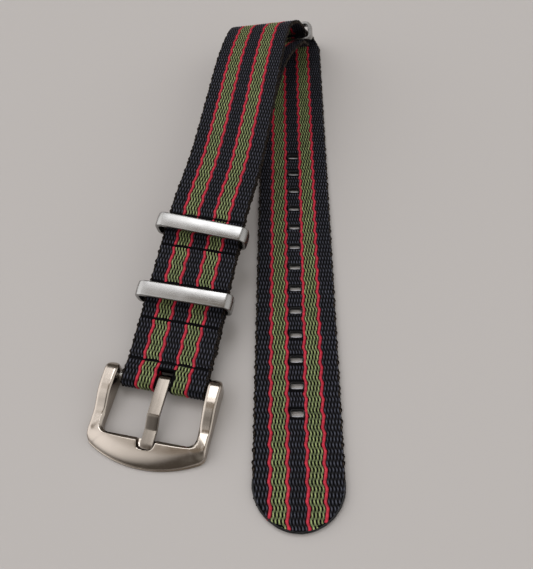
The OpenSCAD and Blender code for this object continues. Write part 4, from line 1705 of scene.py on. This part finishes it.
class Finishes:
    """All the materials, made once."""

    def __init__(self) -> None:
        """Makes the groups and the materials that use them."""
        filaments, brushed = filament_group(), brushed_group()
        # Each yarn's pair runs from painted shade to painted highlight about its own colour; the
        # black's pale blue light is a painted glint.
        self.yarns = {
            Yarn.BLACK: YarnFinish("black yarn", srgb(3, 3, 5), srgb(82, 84, 96), beads=1.0,
                                   gloss=0.12).make(filaments),
            Yarn.GREEN: YarnFinish("green yarn", srgb(30, 38, 15), srgb(172, 186, 125),
                                   beads=0.7).make(filaments),
            Yarn.RED: YarnFinish("red yarn", srgb(112, 14, 30), srgb(212, 48, 70),
                                 beads=0.4).make(filaments)}
        # The selvedge gets the same painted flank shade, crown highlight and row shade as the
        # yarns; its light colour is a pale brown.
        self.selvedge = YarnFinish("selvedge yarn", srgb(5, 5, 6), srgb(92, 80, 70),
                                   gloss=0.05).make(filaments)
        # The core shows in the gaps between the yarns; its near-black, with little gloss, is
        # painted shade there.
        self.core = MeltedFinish("dark ground", srgb(4, 4, 5), srgb(10, 10, 12), rough=0.8,
                                 gloss=0.05).make()
        self.melted = MeltedFinish("melted edge", srgb(5, 5, 6), srgb(20, 20, 22), rough=0.4,
                                   gloss=0.3).make()
        # Pale grey lips: a painted highlight on the holes' near edges.
        self.lip = MeltedFinish("worn lip", srgb(120, 120, 124), srgb(196, 196, 200),
                                rough=0.3).make()
        self.buckle = SteelFinish("buckle steel", srgb(170, 161, 151), 0.19).make(brushed)
        # The tang's darker tint is painted shade: it is the same steel as the buckle.
        self.tang = SteelFinish("tang steel", srgb(116, 109, 101), 0.18).make(brushed)
        self.keeper = SteelFinish("keeper steel", srgb(152, 151, 149), 0.24, turn=90).make(brushed)
        self.bar = SteelFinish("bar steel", srgb(180, 178, 174), 0.3, turn=90).make(brushed)


@dataclass(frozen=True)
class Glow:
    """A bright part of the surround: its colour, where its centre lies, and its edge.

    The edge is given by the cosine of the angle to the centre, where the glow starts and
    where it is full.
    """

    colour: tuple[float, ...]
    centre: tuple[float, float, float]
    start: float
    full: float


@dataclass
class Studio:
    """Floor, lights and camera."""

    lay: Layout
    floor_half: float = 3.0
    floor_colour: tuple[float, ...] = srgb(186, 182, 179)
    sensor: float = 36.0
    focal_px: float = 560.0
    frame_px: float = 569.0
    height: float = 120.6
    beside: tuple[float, float] = (26.0, -170.0)
    look: tuple[float, float] = (-0.213, 0.977)
    pitch: float = 57.7
    roll: float = -1.62
    dim: tuple[float, ...] = (0.12, 0.105, 0.09, 1)
    left: Glow = Glow((1.85, 1.83, 1.84, 1), (-0.84, -0.08, 0.54), 0.52, 0.90)
    right: Glow = Glow((1.05, 1.04, 1.03, 1), (0.84, -0.08, 0.54), 0.52, 0.90)
    above: Glow = Glow((0.34, 0.28, 0.22, 1), (0.0, 0.0, 1.0), 0.913, 0.985)
    patch: Glow = Glow((5.0, 5.05, 5.2, 1), (-0.10, 0.41, 0.906), 0.964, 0.993)

    def build(self) -> None:
        """Sets up everything that isn't part of the object."""
        self.build_floor()
        self.build_light()
        self.build_camera()

    def build_floor(self) -> None:
        """Lays a large plane just below the strap, with a plain pale finish."""
        mesh, size = bpy.data.meshes.new("floor"), self.floor_half
        mesh.from_pydata([(-size, -size, 0), (size, -size, 0), (size, size, 0), (-size, size, 0)],
                         [], [(0, 1, 2, 3)])
        floor = bpy.data.objects.new("floor", mesh)
        bpy.context.scene.collection.objects.link(floor)
        material, _, _ = new_material("pale floor", Base_Color=self.floor_colour,
                                      Roughness=0.85, Specular_IOR_Level=0.2)
        mesh.materials.append(material)

    def build_light(self) -> None:
        """Lights the strap by the surround alone: broad at both sides, and a patch behind.

        Each glow is a smooth step on the cosine of the angle to its centre. The sides give most
        of the light, the patch and its weak warm neighbour above are what the steel shows, and
        the rest is dim. Behind the floor the camera sees the floor's colour.
        """
        world = bpy.data.worlds.new("surround")
        bpy.context.scene.world = world
        world.use_nodes = True
        n = Nodes(world.node_tree)
        out = n.add("ShaderNodeOutputWorld")
        ground = n.add("ShaderNodeBackground", Strength=1.0)
        place = n.add("ShaderNodeTexCoord")
        colour: object = self.dim
        for glow in (self.left, self.right, self.above, self.patch):
            side = n.add("ShaderNodeVectorMath", operation="DOT_PRODUCT")
            side.inputs[1].default_value = glow.centre
            n.link(place.outputs["Generated"], side.inputs[0])
            rise = n.add("ShaderNodeMapRange", interpolation_type="SMOOTHSTEP",
                         From_Min=glow.start, From_Max=glow.full)
            n.link(side.outputs["Value"], rise.inputs["Value"])
            colour = n.mix(rise.outputs[0], colour, glow.colour)
        path = n.add("ShaderNodeLightPath")
        seen = n.mix(path.outputs["Is Camera Ray"], colour, self.floor_colour)
        n.link(seen, ground.inputs["Color"])
        n.link(ground.outputs[0], out.inputs[0])

    def build_camera(self) -> None:
        """Places the camera from its height, its look along the ground, its pitch and roll."""
        data = bpy.data.cameras.new("camera")
        data.sensor_width = self.sensor
        data.lens = self.sensor * self.focal_px / self.frame_px
        data.clip_start = 0.005
        camera = bpy.data.objects.new("camera", data)
        flat = unit(np.array([*self.look, 0.0]))
        pitch, roll = math.radians(self.pitch), math.radians(self.roll)
        ahead = math.cos(pitch) * flat - math.sin(pitch) * np.array([0, 0, 1.0])
        right = np.array([flat[1], -flat[0], 0])
        up = np.cross(right, ahead)
        right, up = (math.cos(roll) * right + math.sin(roll) * up,
                     math.cos(roll) * up - math.sin(roll) * right)
        at = self.lay.fold_end + np.array([*self.beside, self.height])
        turn = Matrix(np.stack([right, up, -ahead], 1).tolist()).to_4x4()
        camera.matrix_world = Matrix.Translation(Vector((at * MM).tolist())) @ turn
        bpy.context.scene.collection.objects.link(camera)
        bpy.context.scene.camera = camera
        bpy.context.scene.view_settings.view_transform = "Standard"


def main() -> None:
    """Builds the object and its surroundings."""
    logging.basicConfig(level=logging.INFO, format="%(name)s: %(message)s")
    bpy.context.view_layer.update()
    lay, finishes = Layout(), Finishes()
    Studio(lay).build()
    LongWebbing(lay, finishes).build()
    UnderStrap(lay, finishes).build()
    Keepers(lay, finishes).build()
    Buckle(lay, finishes).build()
    Tang(lay, finishes).build()
    SpringBar(finishes).dress()


if __name__ == "__main__":
    main()
